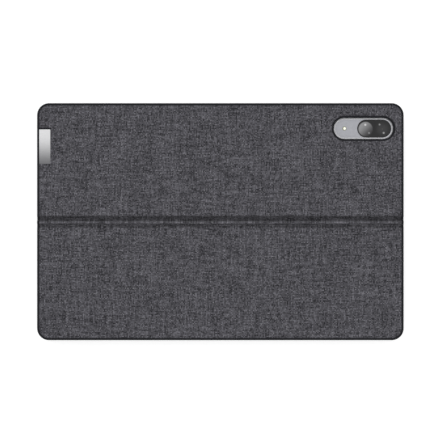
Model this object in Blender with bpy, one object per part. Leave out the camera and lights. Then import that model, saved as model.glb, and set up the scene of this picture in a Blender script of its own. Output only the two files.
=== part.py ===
"""A two-piece tablet keyboard case, closed round a dummy tablet and lying on its keyboard.

The keyboard lies face up at the bottom. Its rear edge carries a fabric band that ends in a dock
bar, which grips the long edge of the tablet. The back cover lies on the tablet, and its lower half
swings out as a kickstand about a piano hinge across the middle.

Sizes are in millimetres and the mesh helpers turn them into metres. +Z is up, +X runs along the
long side, and +Y points to the edge that the camera window is near. The origin is at the middle of
the footprint, on the surface that the case lies on.
"""

import math

import bmesh
import bpy
from mathutils import Vector

MM = 0.001

# ---------------------------------------------------------------- driving dimensions
CASE_WIDTH = 266.0
CASE_DEPTH = 172.0
CORNER_RADIUS = 8.7
TRIM_WIDTH = 1.3  # black edge binding
EDGE_ROUNDING = 0.5
FIT_GAP = 0.15  # between neighbouring pieces
TRIM_FOOT = 0.05  # the binding stays just off the surface that the fabric lies on
KEYBOARD_THICKNESS = 5.0
SCREEN_GAP = 0.3  # between the keyboard's rim and the screen
TABLET_THICKNESS = 5.8
COVER_GAP = 0.2  # between the tablet and the back cover's lining
COVER_THICKNESS = 3.0

HALF_WIDTH = CASE_WIDTH / 2
HALF_DEPTH = CASE_DEPTH / 2
TABLET_BOTTOM = KEYBOARD_THICKNESS + SCREEN_GAP
TABLET_TOP = TABLET_BOTTOM + TABLET_THICKNESS
COVER_BOTTOM = TABLET_TOP + COVER_GAP
COVER_TOP = COVER_BOTTOM + COVER_THICKNESS
INSET = TRIM_WIDTH + FIT_GAP  # how far the inner layers stay inside the outline
ARC_STEPS = 5  # segments in a quarter circle of an outline

# ---------------------------------------------------------------- fabric band and dock
BAND_HALF_THICKNESS = 0.35
BAND_Y = -HALF_DEPTH + 0.1 + BAND_HALF_THICKNESS  # middle of the band's thickness
BAND_HALF_LENGTH = 120.0
BAND_HINGE_Z = KEYBOARD_THICKNESS / 2  # keyboard to band
DOCK_HINGE_Z = TABLET_TOP - 0.5  # band to dock bar
DOCK_BACK = BAND_Y + BAND_HALF_THICKNESS + 0.45
KEYBOARD_REAR = DOCK_BACK
DOCK_FRONT = -82.95
DOCK_BOTTOM = TABLET_BOTTOM + 0.2
DOCK_TOP = TABLET_TOP - 0.2
DOCK_HALF_LENGTH = 118.0
POCKET_BACK = DOCK_BACK + 0.4
CONTACT_HALF_LENGTH = 9.0
CONTACT_PITCH = 4.0
CONTACT_COUNT = 4
CONTACT_MIDDLE_Z = (DOCK_BOTTOM + DOCK_TOP) / 2
CONTACT_HALF_HEIGHT = 1.5
PIN_RADIUS = 0.4
PIN_BORE_RADIUS = 0.55
PIN_BACK = -83.6
PIN_TIP = -82.75
DOCK_MAGNET_X = (30.0, 90.0)

# ---------------------------------------------------------------- dummy tablet
TABLET_HALF_WIDTH = 132.2
TABLET_FRONT = -82.6
TABLET_REAR = 85.4
TABLET_RADIUS = 8.0
TABLET_BACK_WALL = 1.0
TABLET_SIDE_WALL = 2.0
GLASS_THICKNESS = 1.05
GLASS_REBATE = 0.9

# ---------------------------------------------------------------- camera window, camera and tag
WINDOW_CENTRE = (103.9, 67.65)
WINDOW_SIZE = (43.6, 15.75)
BEZEL_WIDTH = 0.9
BEZEL_LIP = 0.2  # how far the bezel stands above the fabric
ISLAND_CLEARANCE = 0.3  # between the camera's raised island and the bezel
ISLAND_HEIGHT = 1.0
ISLAND_ROUNDING = 0.35
GLASS_MARGIN = 1.1  # from the camera glass to the island's long edges
GLASS_END_MARGIN = 1.45  # from the camera glass to the island's near end
CAMERA_LENGTH = 24.45
CAMERA_LIP = 0.1  # how far the camera glass stands above the island
FLASH_CENTRE = (90.15, 67.7)
FLASH_RADIUS = 1.35
TAG_X = (-131.4, -123.3)
TAG_Y = (41.9, 66.9)
TAG_THICKNESS = 0.3

# ---------------------------------------------------------------- kickstand hinge
HINGE_Y = -0.6
HINGE_Z = COVER_TOP - 0.4
UPPER_EDGE = 3.6  # where the upper panel stops beside the hinge
LOWER_EDGE = -4.1  # where the kickstand starts beside the hinge
BARREL_RADIUS = 0.85
ROD_RADIUS = 0.45
ROD_END_GAP = 1.5  # from the rod's ends to the case's outline
KNUCKLE_BORE = 0.6
KNUCKLE_PITCH = 6.0
KNUCKLE_LENGTH = 5.7
KNUCKLES = 5
NECK_HALF_WIDTH = 0.5
TONGUE_REACH = 1.4  # how far a knuckle's foot runs into its leaf
HINGE_CENTRES = {"left": -92.0, "right": 92.0}
LEAF_START = 0.9  # a leaf's near and far edges, from the hinge axis
LEAF_REACH = 17.6
LEAF_BOTTOM = COVER_BOTTOM + 0.65
LEAF_THICKNESS = 0.8
LEAF_CLEARANCE = 0.3

# ---------------------------------------------------------------- layers of the back cover
LINING_THICKNESS = 0.4
FABRIC_THICKNESS = 0.5
PLATE_BOTTOM = COVER_BOTTOM + LINING_THICKNESS + 0.1
PLATE_TOP = COVER_TOP - FABRIC_THICKNESS - 0.1
MAGNET_THICKNESS = 1.0
COVER_MAGNETS = {"left": ((-100.0, -40.0), (60.0, 70.0)), "right": ((10.0, 70.0), (60.0, 70.0))}
KICKSTAND_MAGNET = ((-40.0, 40.0), (-80.0, -70.0))

# ---------------------------------------------------------------- layers of the keyboard
BASE_PLATE_Z = (0.65, 1.4)
MEMBRANE_Z = (1.5, 1.65)
DOME_SHEET_Z = (1.75, 1.9)
DOME_TOP = 3.0
DOME_RADII = (2.4, 1.4)  # at the foot and at the head
DOME_SIDES = 6
WEB_Z = (3.15, 3.45)
WELL_PLATE_Z = (3.6, 4.1)
DECK_BOTTOM = 1.55
PALM_PLATE_BOTTOM = 4.2
CAP_TOP = 4.9
CAP_TAPER = 0.5
DECK_WALL = 2.0
BOARD_X = (-115.0, -62.0)
BOARD_Y = (30.0, 60.0)
BOARD_TOP = 2.4
CLOSURE_MAGNET_X = (72.0, 118.0)
CLOSURE_MAGNET_Y = (74.0, 80.0)
CLOSURE_MAGNET_THICKNESS = 1.2

# ---------------------------------------------------------------- key layout
KEY_UNIT = 17.3
ROW_UNITS = 14.5
KEY_GAP = 2.6
ROW_PITCH = 17.0
KEY_DEPTH = ROW_PITCH - KEY_GAP
FUNCTION_DEPTH = 7.4
KEYS_REAR = -77.0
ARROW_GAP = 1.0
WELL_CLEARANCE = 0.25
FLANGE = 0.35
RECESS_MARGIN = 1.5
KEYS_FRONT = KEYS_REAR + FUNCTION_DEPTH + 5 * ROW_PITCH

# ---------------------------------------------------------------- touchpad
PAD_HALF_WIDTH = 52.0
PAD_Y = (22.3, 77.7)
PAD_CLEARANCE = 0.3
PAD_Z = (3.9, 4.9)
PAD_FLANGE = 1.0
PAD_FLANGE_Z = (3.4, 4.0)
PAD_SWITCH_X = (-5.0, 5.0)
PAD_SWITCH_Y = (65.7, 73.7)
PAD_SWITCH_TOP = 2.7

COLOURS = {
    "fabric": ((0.075, 0.074, 0.079), 0.95, 0.0),
    "edge_trim": ((0.012, 0.012, 0.014), 0.6, 0.0),
    "plate": ((0.18, 0.18, 0.19), 0.5, 0.0),
    "lining": ((0.06, 0.06, 0.065), 0.9, 0.0),
    "steel": ((0.5, 0.5, 0.52), 0.35, 1.0),
    "tag_metal": ((0.68, 0.68, 0.7), 0.3, 1.0),
    "aluminium": ((0.4, 0.4, 0.43), 0.4, 1.0),
    "black_glass": ((0.01, 0.01, 0.012), 0.05, 0.0),
    "flash": ((0.85, 0.87, 0.75), 0.2, 0.0),
    "deck": ((0.03, 0.03, 0.033), 0.6, 0.0),
    "keycap": ((0.022, 0.022, 0.025), 0.5, 0.0),
    "touchpad": ((0.035, 0.035, 0.038), 0.35, 0.0),
    "rubber": ((0.3, 0.3, 0.3), 0.8, 0.0),
    "film": ((0.5, 0.5, 0.45), 0.3, 0.0),
    "board": ((0.02, 0.12, 0.05), 0.5, 0.0),
    "gold": ((0.8, 0.55, 0.2), 0.3, 1.0),
    "ribbon": ((0.35, 0.16, 0.04), 0.4, 0.0),
}


# ================================================================ helpers
def clear_scene():
    for obj in list(bpy.data.objects):
        bpy.data.objects.remove(obj)


def material(slot):
    found = bpy.data.materials.get(slot)
    if found:
        return found
    colour, roughness, metallic = COLOURS[slot]
    made = bpy.data.materials.new(slot)
    made.use_nodes = True
    shader = made.node_tree.nodes["Principled BSDF"]
    shader.inputs["Base Color"].default_value = (*colour, 1.0)
    shader.inputs["Roughness"].default_value = roughness
    shader.inputs["Metallic"].default_value = metallic
    return made


def pivot(name, position, parent=None):
    """An empty on a joint's axis, which the pieces of one body hang from."""
    empty = bpy.data.objects.new(name, None)
    bpy.context.scene.collection.objects.link(empty)
    hang(empty, parent)
    offset = world_of(parent)
    empty.location = Vector(position) * MM - offset
    return empty


def world_of(obj):
    """Where an unrotated object stands, from its own and its parents' locations."""
    place = Vector((0, 0, 0))
    while obj is not None:
        place += obj.location
        obj = obj.parent
    return place


def hang(obj, parent):
    if parent is not None:
        obj.parent = parent


def add(name, bm, centre, slot, parent=None):
    """Links a mesh built round its own centre, and sets it at centre in the object's frame."""
    bmesh.ops.recalc_face_normals(bm, faces=bm.faces)
    mesh = bpy.data.meshes.new(name)
    bm.to_mesh(mesh)
    bm.free()
    obj = bpy.data.objects.new(name, mesh)
    bpy.context.scene.collection.objects.link(obj)
    obj.location = Vector(centre) * MM - world_of(parent)
    hang(obj, parent)
    if slot:
        mesh.materials.append(material(slot))
    return obj


def as_cutter(obj):
    obj.hide_render = True
    obj.display_type = "WIRE"
    return obj


def boolean(obj, other, operation):
    modifier = obj.modifiers.new(other.name, "BOOLEAN")
    modifier.operation = operation
    modifier.object = as_cutter(other)
    return obj


def cut(obj, other):
    return boolean(obj, other, "DIFFERENCE")


def join(obj, other):
    return boolean(obj, other, "UNION")


def rounded(x_range, y_range, radii, steps=ARC_STEPS):
    """Outline with a radius for each corner: left front, right front, right rear, left rear."""
    (x0, x1), (y0, y1) = x_range, y_range
    corners = ((x0, y0, 1, 1), (x1, y0, -1, 1), (x1, y1, -1, -1), (x0, y1, 1, -1))
    points = []
    for index, ((x, y, to_x, to_y), radius) in enumerate(zip(corners, radii)):
        if radius <= 0:
            points.append((x, y))
            continue
        start = math.pi + index * math.pi / 2
        for step in range(steps + 1):
            angle = start + step * math.pi / 2 / steps
            points.append(
                (
                    x + to_x * radius + radius * math.cos(angle),
                    y + to_y * radius + radius * math.sin(angle),
                )
            )
    return points


def pill(centre, size, grow=0.0):
    """Outline with round ends, as of the camera window."""
    half_x, half_y = size[0] / 2 + grow, size[1] / 2 + grow
    x_range = (centre[0] - half_x, centre[0] + half_x)
    y_range = (centre[1] - half_y, centre[1] + half_y)
    return rounded(x_range, y_range, (half_y - 0.01,) * 4)


def circle(centre, radius, steps=16):
    turn = 2 * math.pi / steps
    return [
        (centre[0] + radius * math.cos(turn * n), centre[1] + radius * math.sin(turn * n))
        for n in range(steps)
    ]


def add_prism(bm, outline, z_range, centre):
    """Extrudes a flat outline from z_range[0] to z_range[1]."""
    low = [
        bm.verts.new(((x - centre[0]) * MM, (y - centre[1]) * MM, (z_range[0] - centre[2]) * MM))
        for x, y in outline
    ]
    face = bm.faces.new(low)
    extruded = bmesh.ops.extrude_face_region(bm, geom=[face])
    rise = Vector((0, 0, (z_range[1] - z_range[0]) * MM))
    raised = [item for item in extruded["geom"] if isinstance(item, bmesh.types.BMVert)]
    bmesh.ops.translate(bm, vec=rise, verts=raised)


def bridge(bm, first, second):
    """Side faces between two rings with the same number of vertices."""
    for n in range(len(first)):
        bm.faces.new((first[n], first[n - 1], second[n - 1], second[n]))


def middle(outline, z_range):
    """A point of the object's own frame in the middle of an outline's box."""
    xs = [x for x, _ in outline]
    ys = [y for _, y in outline]
    return ((min(xs) + max(xs)) / 2, (min(ys) + max(ys)) / 2, sum(z_range) / 2)


def prism(name, outline, z_range, slot=None, parent=None):
    centre = middle(outline, z_range)
    bm = bmesh.new()
    add_prism(bm, outline, z_range, centre)
    return add(name, bm, centre, slot, parent)


def prisms(name, outlines, z_range):
    """One helper mesh of several prisms that don't touch."""
    bm = bmesh.new()
    for outline in outlines:
        add_prism(bm, outline, z_range, (0, 0, 0))
    return add(name, bm, (0, 0, 0), None)


def extrude_x(name, profile, x_range, slot=None, parent=None):
    """Extrudes a profile of (y, z) points along X."""
    centre_x = sum(x_range) / 2
    ys = [y for y, _ in profile]
    zs = [z for _, z in profile]
    centre = (centre_x, (min(ys) + max(ys)) / 2, (min(zs) + max(zs)) / 2)
    bm = bmesh.new()
    verts = [
        bm.verts.new(((x_range[0] - centre_x) * MM, (y - centre[1]) * MM, (z - centre[2]) * MM))
        for y, z in profile
    ]
    extruded = bmesh.ops.extrude_face_region(bm, geom=[bm.faces.new(verts)])
    run = Vector(((x_range[1] - x_range[0]) * MM, 0, 0))
    moved = [item for item in extruded["geom"] if isinstance(item, bmesh.types.BMVert)]
    bmesh.ops.translate(bm, vec=run, verts=moved)
    return add(name, bm, centre, slot, parent)


def rectangle(x_range, y_range):
    return rounded(x_range, y_range, (0, 0, 0, 0))


def shade_smooth(obj):
    obj.data.shade_smooth()
    obj.data.set_sharp_from_angle(angle=math.radians(35))


def soften(obj, width, segments=2):
    """Rounds the sharp edges of a piece."""
    modifier = obj.modifiers.new("rounded edges", "BEVEL")
    modifier.width = width * MM
    modifier.segments = segments
    modifier.limit_method = "ANGLE"
    modifier.angle_limit = math.radians(60)


# ================================================================ outlines
def keyboard_outline(inset=0.0):
    x_range = (-HALF_WIDTH + inset, HALF_WIDTH - inset)
    y_range = (KEYBOARD_REAR + inset, HALF_DEPTH - inset)
    return rounded(x_range, y_range, (CORNER_RADIUS - inset,) * 4)


def upper_outline(inset=0.0, edge=UPPER_EDGE):
    """The fixed half of the back cover, square where it meets the hinge."""
    x_range = (-HALF_WIDTH + inset, HALF_WIDTH - inset)
    radius = CORNER_RADIUS - inset
    return rounded(x_range, (edge, HALF_DEPTH - inset), (0, 0, radius, radius))


def lower_outline(inset=0.0, edge=LOWER_EDGE):
    """The kickstand half of the back cover."""
    x_range = (-HALF_WIDTH + inset, HALF_WIDTH - inset)
    radius = CORNER_RADIUS - inset
    return rounded(x_range, (-HALF_DEPTH + inset, edge), (radius, radius, 0, 0))


def tablet_outline(inset=0.0):
    x_range = (-TABLET_HALF_WIDTH + inset, TABLET_HALF_WIDTH - inset)
    y_range = (TABLET_FRONT + inset, TABLET_REAR - inset)
    return rounded(x_range, y_range, (TABLET_RADIUS - inset,) * 4)


# ================================================================ keyboard
def key_rows():
    """Each row as (rear edge, depth, [(node, width in key units)]), from the hinge side on.

    The user sits at +Y, so a row runs from +X on the left to -X on the right.
    """
    rows = [(FUNCTION_DEPTH, [("function_keys", ROW_UNITS / 14)] * 14)]
    rows.append((KEY_DEPTH, [("number_keys", 1)] * 13 + [("backspace_key", 1.5)]))
    rows.append((KEY_DEPTH, [("top_letter_keys", 1.5)] + [("top_letter_keys", 1)] * 13))
    home = [("home_letter_keys", 1.75)] + [("home_letter_keys", 1)] * 11
    rows.append((KEY_DEPTH, home + [("enter_key", 1.75)]))
    low = [("left_shift_key", 2.25)] + [("bottom_letter_keys", 1)] * 10
    rows.append((KEY_DEPTH, low + [("right_shift_key", 2.25)]))
    left = [("left_modifier_keys", 1.25)] + [("left_modifier_keys", 1)] * 3
    right = [("space_bar", 5.25)] + [("right_modifier_keys", 1)] * 2
    arrows = [("arrow_left_key", 1), ("arrow_up_key", 1), ("arrow_right_key", 1)]
    rows.append((KEY_DEPTH, left + right + arrows))
    return rows


def key_boxes():
    """Each node's caps as (x range, y range)."""
    boxes = {}
    rear = KEYS_REAR
    for depth, keys in key_rows():
        left = ROW_UNITS * KEY_UNIT / 2
        for node, units in keys:
            right = left - units * KEY_UNIT
            x_range = (right + KEY_GAP / 2, left - KEY_GAP / 2)
            y_range = (rear, rear + depth)
            if node == "arrow_up_key":
                half = (depth - ARROW_GAP) / 2
                y_range = (rear, rear + half)
                boxes["arrow_down_key"] = [(x_range, (rear + depth - half, rear + depth))]
            boxes.setdefault(node, []).append((x_range, y_range))
            left = right
        rear += depth + KEY_GAP
    return boxes


def grown(box, by):
    (x0, x1), (y0, y1) = box
    return rectangle((x0 - by, x1 + by), (y0 - by, y1 + by))


def add_cap(bm, box, centre):
    """A keycap whose four sides lean in towards its top."""
    (x0, x1), (y0, y1) = box
    foot_z = WEB_Z[0] + 0.1
    corners = ((x0, y0, 1, 1), (x1, y0, -1, 1), (x1, y1, -1, -1), (x0, y1, 1, -1))
    rings = []
    for z, lean in ((foot_z, 0.0), (WELL_PLATE_Z[1], 0.0), (CAP_TOP, CAP_TAPER)):
        rings.append(
            [
                bm.verts.new(
                    (
                        (x + to_x * lean - centre[0]) * MM,
                        (y + to_y * lean - centre[1]) * MM,
                        (z - centre[2]) * MM,
                    )
                )
                for x, y, to_x, to_y in corners
            ]
        )
    bm.faces.new(rings[0])
    bm.faces.new(rings[-1])
    for below, above in zip(rings, rings[1:]):
        bridge(bm, below, above)


def build_keys(parent):
    """Caps of one node stand on a thin web below the deck, which also keeps them from falling out."""
    for node, boxes in key_boxes().items():
        x_range = (min(b[0][0] for b in boxes), max(b[0][1] for b in boxes))
        y_range = (min(b[1][0] for b in boxes), max(b[1][1] for b in boxes))
        web = prism(node, grown((x_range, y_range), FLANGE), WEB_Z, "keycap", parent)
        bm = bmesh.new()
        for box in boxes:
            add_cap(bm, box, (0, 0, 0))
        caps = add(node + "_caps", bm, (0, 0, 0), None)
        join(web, caps)


def build_deck(parent):
    """The upper shell: a rim, a recess for the keys with a well for each, and a palm rest."""
    deck = prism("key_deck", keyboard_outline(INSET), (DECK_BOTTOM, KEYBOARD_THICKNESS), "deck", parent)
    inner = INSET + DECK_WALL
    x_range = (-HALF_WIDTH + inner, HALF_WIDTH - inner)
    recess_x = ROW_UNITS * KEY_UNIT / 2 - KEY_GAP / 2 + RECESS_MARGIN
    recess_y = (KEYS_REAR - RECESS_MARGIN, KEYS_FRONT + RECESS_MARGIN)
    recess = rounded((-recess_x, recess_x), recess_y, (2.0,) * 4, 3)
    under_keys = rectangle(x_range, (KEYBOARD_REAR + inner, recess_y[1] + 1.5))
    under_palm = rectangle(x_range, (recess_y[1] + 3.5, HALF_DEPTH - inner))
    pad_x = PAD_HALF_WIDTH + PAD_CLEARANCE
    pad_y = (PAD_Y[0] - PAD_CLEARANCE, PAD_Y[1] + PAD_CLEARANCE)
    wells = [grown(box, WELL_CLEARANCE) for group in key_boxes().values() for box in group]
    cut(deck, prism("cut_key_recess", recess, (WELL_PLATE_Z[1], KEYBOARD_THICKNESS + 1)))
    cut(deck, prism("cut_under_keys", under_keys, (DECK_BOTTOM - 1, WELL_PLATE_Z[0])))
    cut(deck, prism("cut_under_palm", under_palm, (DECK_BOTTOM - 1, PALM_PLATE_BOTTOM)))
    window = rounded((-pad_x, pad_x), pad_y, (2.5,) * 4, 3)
    cut(deck, prism("cut_pad_window", window, (PALM_PLATE_BOTTOM - 1, KEYBOARD_THICKNESS + 1)))
    cut(deck, prisms("cut_wells", wells, (WELL_PLATE_Z[0] - 0.3, WELL_PLATE_Z[1] + 0.3)))


def key_field():
    """Outline of the sheets under the keys."""
    reach = ROW_UNITS * KEY_UNIT / 2
    return rectangle((-reach, reach), (KEYS_REAR - 1, KEYS_FRONT + 1))


def build_dome_sheet(parent):
    """One rubber sheet with a dome under each key."""
    sheet = prism("rubber_dome_sheet", key_field(), DOME_SHEET_Z, "rubber", parent)
    bm = bmesh.new()
    for boxes in key_boxes().values():
        for (x0, x1), (y0, y1) in boxes:
            centre = ((x0 + x1) / 2, (y0 + y1) / 2)
            foot_z = DOME_SHEET_Z[0] + 0.05
            foot = circle(centre, DOME_RADII[0], DOME_SIDES)
            head = circle(centre, DOME_RADII[1], DOME_SIDES)
            low = [bm.verts.new((x * MM, y * MM, foot_z * MM)) for x, y in foot]
            high = [bm.verts.new((x * MM, y * MM, DOME_TOP * MM)) for x, y in head]
            bm.faces.new(low)
            bm.faces.new(high)
            bridge(bm, low, high)
    join(sheet, add("domes", bm, (0, 0, 0), None))


def build_touchpad(parent):
    pad = rounded((-PAD_HALF_WIDTH, PAD_HALF_WIDTH), PAD_Y, (2.2,) * 4, 3)
    flange = rectangle(
        (-PAD_HALF_WIDTH - PAD_FLANGE, PAD_HALF_WIDTH + PAD_FLANGE),
        (PAD_Y[0] - PAD_FLANGE, PAD_Y[1] + PAD_FLANGE),
    )
    hinge = pivot("touchpad_pivot", (0, PAD_Y[0] - PAD_FLANGE, PAD_FLANGE_Z[1]), parent)
    top = prism("touchpad", pad, PAD_Z, "touchpad", hinge)
    join(top, prism("touchpad_flange", flange, PAD_FLANGE_Z))
    switch_z = (BASE_PLATE_Z[1] + FIT_GAP, PAD_SWITCH_TOP)
    prism("touchpad_switch", rectangle(PAD_SWITCH_X, PAD_SWITCH_Y), switch_z, "steel", parent)


def build_keyboard():
    body = pivot("keyboard_pivot", (0, 0, 0))
    prism("keyboard_fabric", keyboard_outline(INSET), (0.0, FABRIC_THICKNESS), "fabric", body)
    trim_z = (TRIM_FOOT, KEYBOARD_THICKNESS)
    trim = prism("keyboard_edge_trim", keyboard_outline(), trim_z, "edge_trim", body)
    soften(trim, EDGE_ROUNDING)
    cut(trim, prism("cut_keyboard_trim", keyboard_outline(TRIM_WIDTH), (-1, KEYBOARD_THICKNESS + 1)))
    prism("keyboard_base_plate", keyboard_outline(INSET), BASE_PLATE_Z, "steel", body)
    prism("switch_membrane", key_field(), MEMBRANE_Z, "film", body)
    build_dome_sheet(body)
    build_deck(body)
    build_keys(body)
    build_touchpad(body)
    floor = BASE_PLATE_Z[1] + FIT_GAP
    prism("controller_board", rectangle(BOARD_X, BOARD_Y), (floor, BOARD_TOP), "board", body)
    for side, sign in (("left", -1), ("right", 1)):
        edges = sorted(sign * x for x in CLOSURE_MAGNET_X)
        magnet = rectangle(edges, CLOSURE_MAGNET_Y)
        z_range = (floor, floor + CLOSURE_MAGNET_THICKNESS)
        prism("closure_magnet_" + side, magnet, z_range, "steel", body)
    return body


# ================================================================ band and dock
def build_band(keyboard):
    """The flexible band that wraps the tablet's long edge when the case is shut."""
    body = pivot("band_pivot", (0, BAND_Y, BAND_HINGE_Z), keyboard)
    steps = 6
    profile = []
    for z, start in ((DOCK_HINGE_Z, 0.0), (BAND_HINGE_Z, math.pi)):
        for n in range(steps + 1):
            angle = start + math.pi * n / steps
            profile.append(
                (
                    BAND_Y + BAND_HALF_THICKNESS * math.cos(angle),
                    z + BAND_HALF_THICKNESS * math.sin(angle),
                )
            )
    band = extrude_x("hinge_band", profile, (-BAND_HALF_LENGTH, BAND_HALF_LENGTH), "fabric", body)
    shade_smooth(band)
    ribbon_y = (BAND_Y + BAND_HALF_THICKNESS + FIT_GAP, DOCK_BACK - FIT_GAP)
    ribbon = rectangle((-CONTACT_HALF_LENGTH, CONTACT_HALF_LENGTH), ribbon_y)
    prism("ribbon_cable", ribbon, (BAND_HINGE_Z + 1.1, DOCK_HINGE_Z - 1.0), "ribbon", body)
    return body


def build_dock(band):
    """The rigid bar with magnets and spring contacts that grips the tablet's long edge."""
    body = pivot("dock_pivot", (0, BAND_Y, DOCK_HINGE_Z), band)
    y_range = (DOCK_BACK, DOCK_FRONT)
    outline = rectangle((-DOCK_HALF_LENGTH, DOCK_HALF_LENGTH), y_range)
    bar = prism("dock_bar", outline, (DOCK_BOTTOM, DOCK_TOP), "deck", body)
    pocket_y = (POCKET_BACK, DOCK_FRONT + 1)
    housing_z = (CONTACT_MIDDLE_Z - CONTACT_HALF_HEIGHT, CONTACT_MIDDLE_Z + CONTACT_HALF_HEIGHT)
    pocket_z = (housing_z[0] - FIT_GAP, housing_z[1] + FIT_GAP)
    housing_x = (-CONTACT_HALF_LENGTH, CONTACT_HALF_LENGTH)
    pocket_x = (housing_x[0] - FIT_GAP, housing_x[1] + FIT_GAP)
    cut(bar, prism("cut_contact_pocket", rectangle(pocket_x, pocket_y), pocket_z))
    fitted_y = (POCKET_BACK + FIT_GAP, DOCK_FRONT - 0.05)
    housing = prism("contact_housing", rectangle(housing_x, fitted_y), housing_z, "edge_trim", body)
    for side, sign in (("left", -1), ("right", 1)):
        edges = sorted(sign * x for x in DOCK_MAGNET_X)
        slot_x = (edges[0] - FIT_GAP, edges[1] + FIT_GAP)
        cut(bar, prism("cut_dock_magnet_" + side, rectangle(slot_x, pocket_y), pocket_z))
        prism("dock_magnet_" + side, rectangle(edges, fitted_y), housing_z, "steel", body)

    pins = pivot("contact_pins_pivot", (0, PIN_TIP, CONTACT_MIDDLE_Z), body)
    for n in range(CONTACT_COUNT):
        x = (n - (CONTACT_COUNT - 1) / 2) * CONTACT_PITCH
        bore = round_bar(f"cut_contact_bore_{n + 1}", x, PIN_BORE_RADIUS, (DOCK_BACK - 1, DOCK_FRONT + 1))
        cut(housing, bore)
        round_bar(f"contact_pin_{n + 1}", x, PIN_RADIUS, (PIN_BACK, PIN_TIP), "gold", pins)
    return body


def round_bar(name, x, radius, y_range, slot=None, parent=None):
    """A round pin along Y at the height of the contacts."""
    steps = 12
    centre = (x, sum(y_range) / 2, CONTACT_MIDDLE_Z)
    bm = bmesh.new()
    half = (y_range[1] - y_range[0]) / 2
    ends = [
        [bm.verts.new((dx * MM, y * MM, dz * MM)) for dx, dz in circle((0, 0), radius, steps)]
        for y in (-half, half)
    ]
    bm.faces.new(ends[0])
    bm.faces.new(ends[1])
    bridge(bm, *ends)
    made = add(name, bm, centre, slot, parent)
    shade_smooth(made)
    return made


# ================================================================ dummy tablet
def build_tablet(dock):
    """A plain dummy of the tablet that the case is closed round."""
    body = pivot("tablet_pivot", (0, TABLET_FRONT, TABLET_BOTTOM), dock)
    shell = prism("tablet_shell", tablet_outline(), (TABLET_BOTTOM, TABLET_TOP), "aluminium", body)
    soften(shell, EDGE_ROUNDING)
    hollow = (TABLET_BOTTOM - 1, TABLET_TOP - TABLET_BACK_WALL)
    cut(shell, prism("cut_tablet_hollow", tablet_outline(TABLET_SIDE_WALL), hollow))
    rebate = (TABLET_BOTTOM - 1, TABLET_BOTTOM + GLASS_THICKNESS + FIT_GAP)
    cut(shell, prism("cut_tablet_rebate", tablet_outline(GLASS_REBATE), rebate))
    glass_z = (TABLET_BOTTOM, TABLET_BOTTOM + GLASS_THICKNESS)
    prism("tablet_screen", tablet_outline(GLASS_REBATE + 0.2), glass_z, "black_glass", body)
    build_camera(body)
    return body


def build_camera(parent):
    """The raised island that fills the cover's window, with the camera glass and the flash in it."""
    island_z = (TABLET_TOP + FIT_GAP, TABLET_TOP + ISLAND_HEIGHT)
    outline = pill(WINDOW_CENTRE, WINDOW_SIZE, -ISLAND_CLEARANCE)
    island = prism("camera_island", outline, island_z, "aluminium", parent)
    soften(island, ISLAND_ROUNDING)
    glass_size = (CAMERA_LENGTH, WINDOW_SIZE[1] - 2 * (ISLAND_CLEARANCE + GLASS_MARGIN))
    far_end = WINDOW_CENTRE[0] + WINDOW_SIZE[0] / 2 - ISLAND_CLEARANCE - GLASS_END_MARGIN
    centre = (far_end - glass_size[0] / 2, WINDOW_CENTRE[1])
    through = (TABLET_TOP - 1, TABLET_TOP + ISLAND_HEIGHT + 1)
    cut(island, prism("cut_glass_seat", pill(centre, glass_size, FIT_GAP), through))
    cut(island, prism("cut_flash_seat", circle(FLASH_CENTRE, FLASH_RADIUS + FIT_GAP), through))
    glass_z = (TABLET_TOP + FIT_GAP, TABLET_TOP + ISLAND_HEIGHT + CAMERA_LIP)
    prism("camera_glass", pill(centre, glass_size), glass_z, "black_glass", parent)
    flash = circle(FLASH_CENTRE, FLASH_RADIUS)
    prism("flash_lens", flash, (TABLET_TOP + FIT_GAP, TABLET_TOP + ISLAND_HEIGHT), "flash", parent)


# ================================================================ back cover
def knuckle(x_range, toward, name):
    """One knuckle with its neck and tongue. toward is 1 for the upper leaf and -1 for the lower."""
    low = LEAF_BOTTOM - HINGE_Z
    top = low + LEAF_THICKNESS
    neck = NECK_HALF_WIDTH
    start = math.acos(neck / BARREL_RADIUS)
    sweep = math.pi + 2 * start
    steps = 12
    profile = [(-neck, low), (TONGUE_REACH, low), (TONGUE_REACH, top), (neck, top)]
    for n in range(steps + 1):
        angle = -start + sweep * n / steps
        profile.append((BARREL_RADIUS * math.cos(angle), BARREL_RADIUS * math.sin(angle)))
    placed = [(HINGE_Y + toward * y, HINGE_Z + z) for y, z in profile]
    return extrude_x(name, placed, x_range)


def build_leaf(side, toward, parent):
    """A hinge leaf. The upper leaf has the odd knuckles and the lower leaf the even ones."""
    which = "upper" if toward > 0 else "lower"
    name = f"{which}_hinge_leaf_{side}"
    centre = HINGE_CENTRES[side]
    half = KNUCKLES * KNUCKLE_PITCH / 2
    y_range = sorted((HINGE_Y + toward * LEAF_START, HINGE_Y + toward * LEAF_REACH))
    flat = rectangle((centre - half, centre + half), y_range)
    leaf = prism(name, flat, (LEAF_BOTTOM, LEAF_BOTTOM + LEAF_THICKNESS), "steel", parent)
    for n in range(0 if toward > 0 else 1, KNUCKLES, 2):
        x0 = centre - half + n * KNUCKLE_PITCH + (KNUCKLE_PITCH - KNUCKLE_LENGTH) / 2
        join(leaf, knuckle((x0, x0 + KNUCKLE_LENGTH), toward, f"{name}_knuckle_{n + 1}"))
    bore = [(HINGE_Y + y, HINGE_Z + z) for y, z in circle((0, 0), KNUCKLE_BORE, 12)]
    cut(leaf, extrude_x(name + "_bore", bore, (centre - half - 1, centre + half + 1)))
    return leaf


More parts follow.
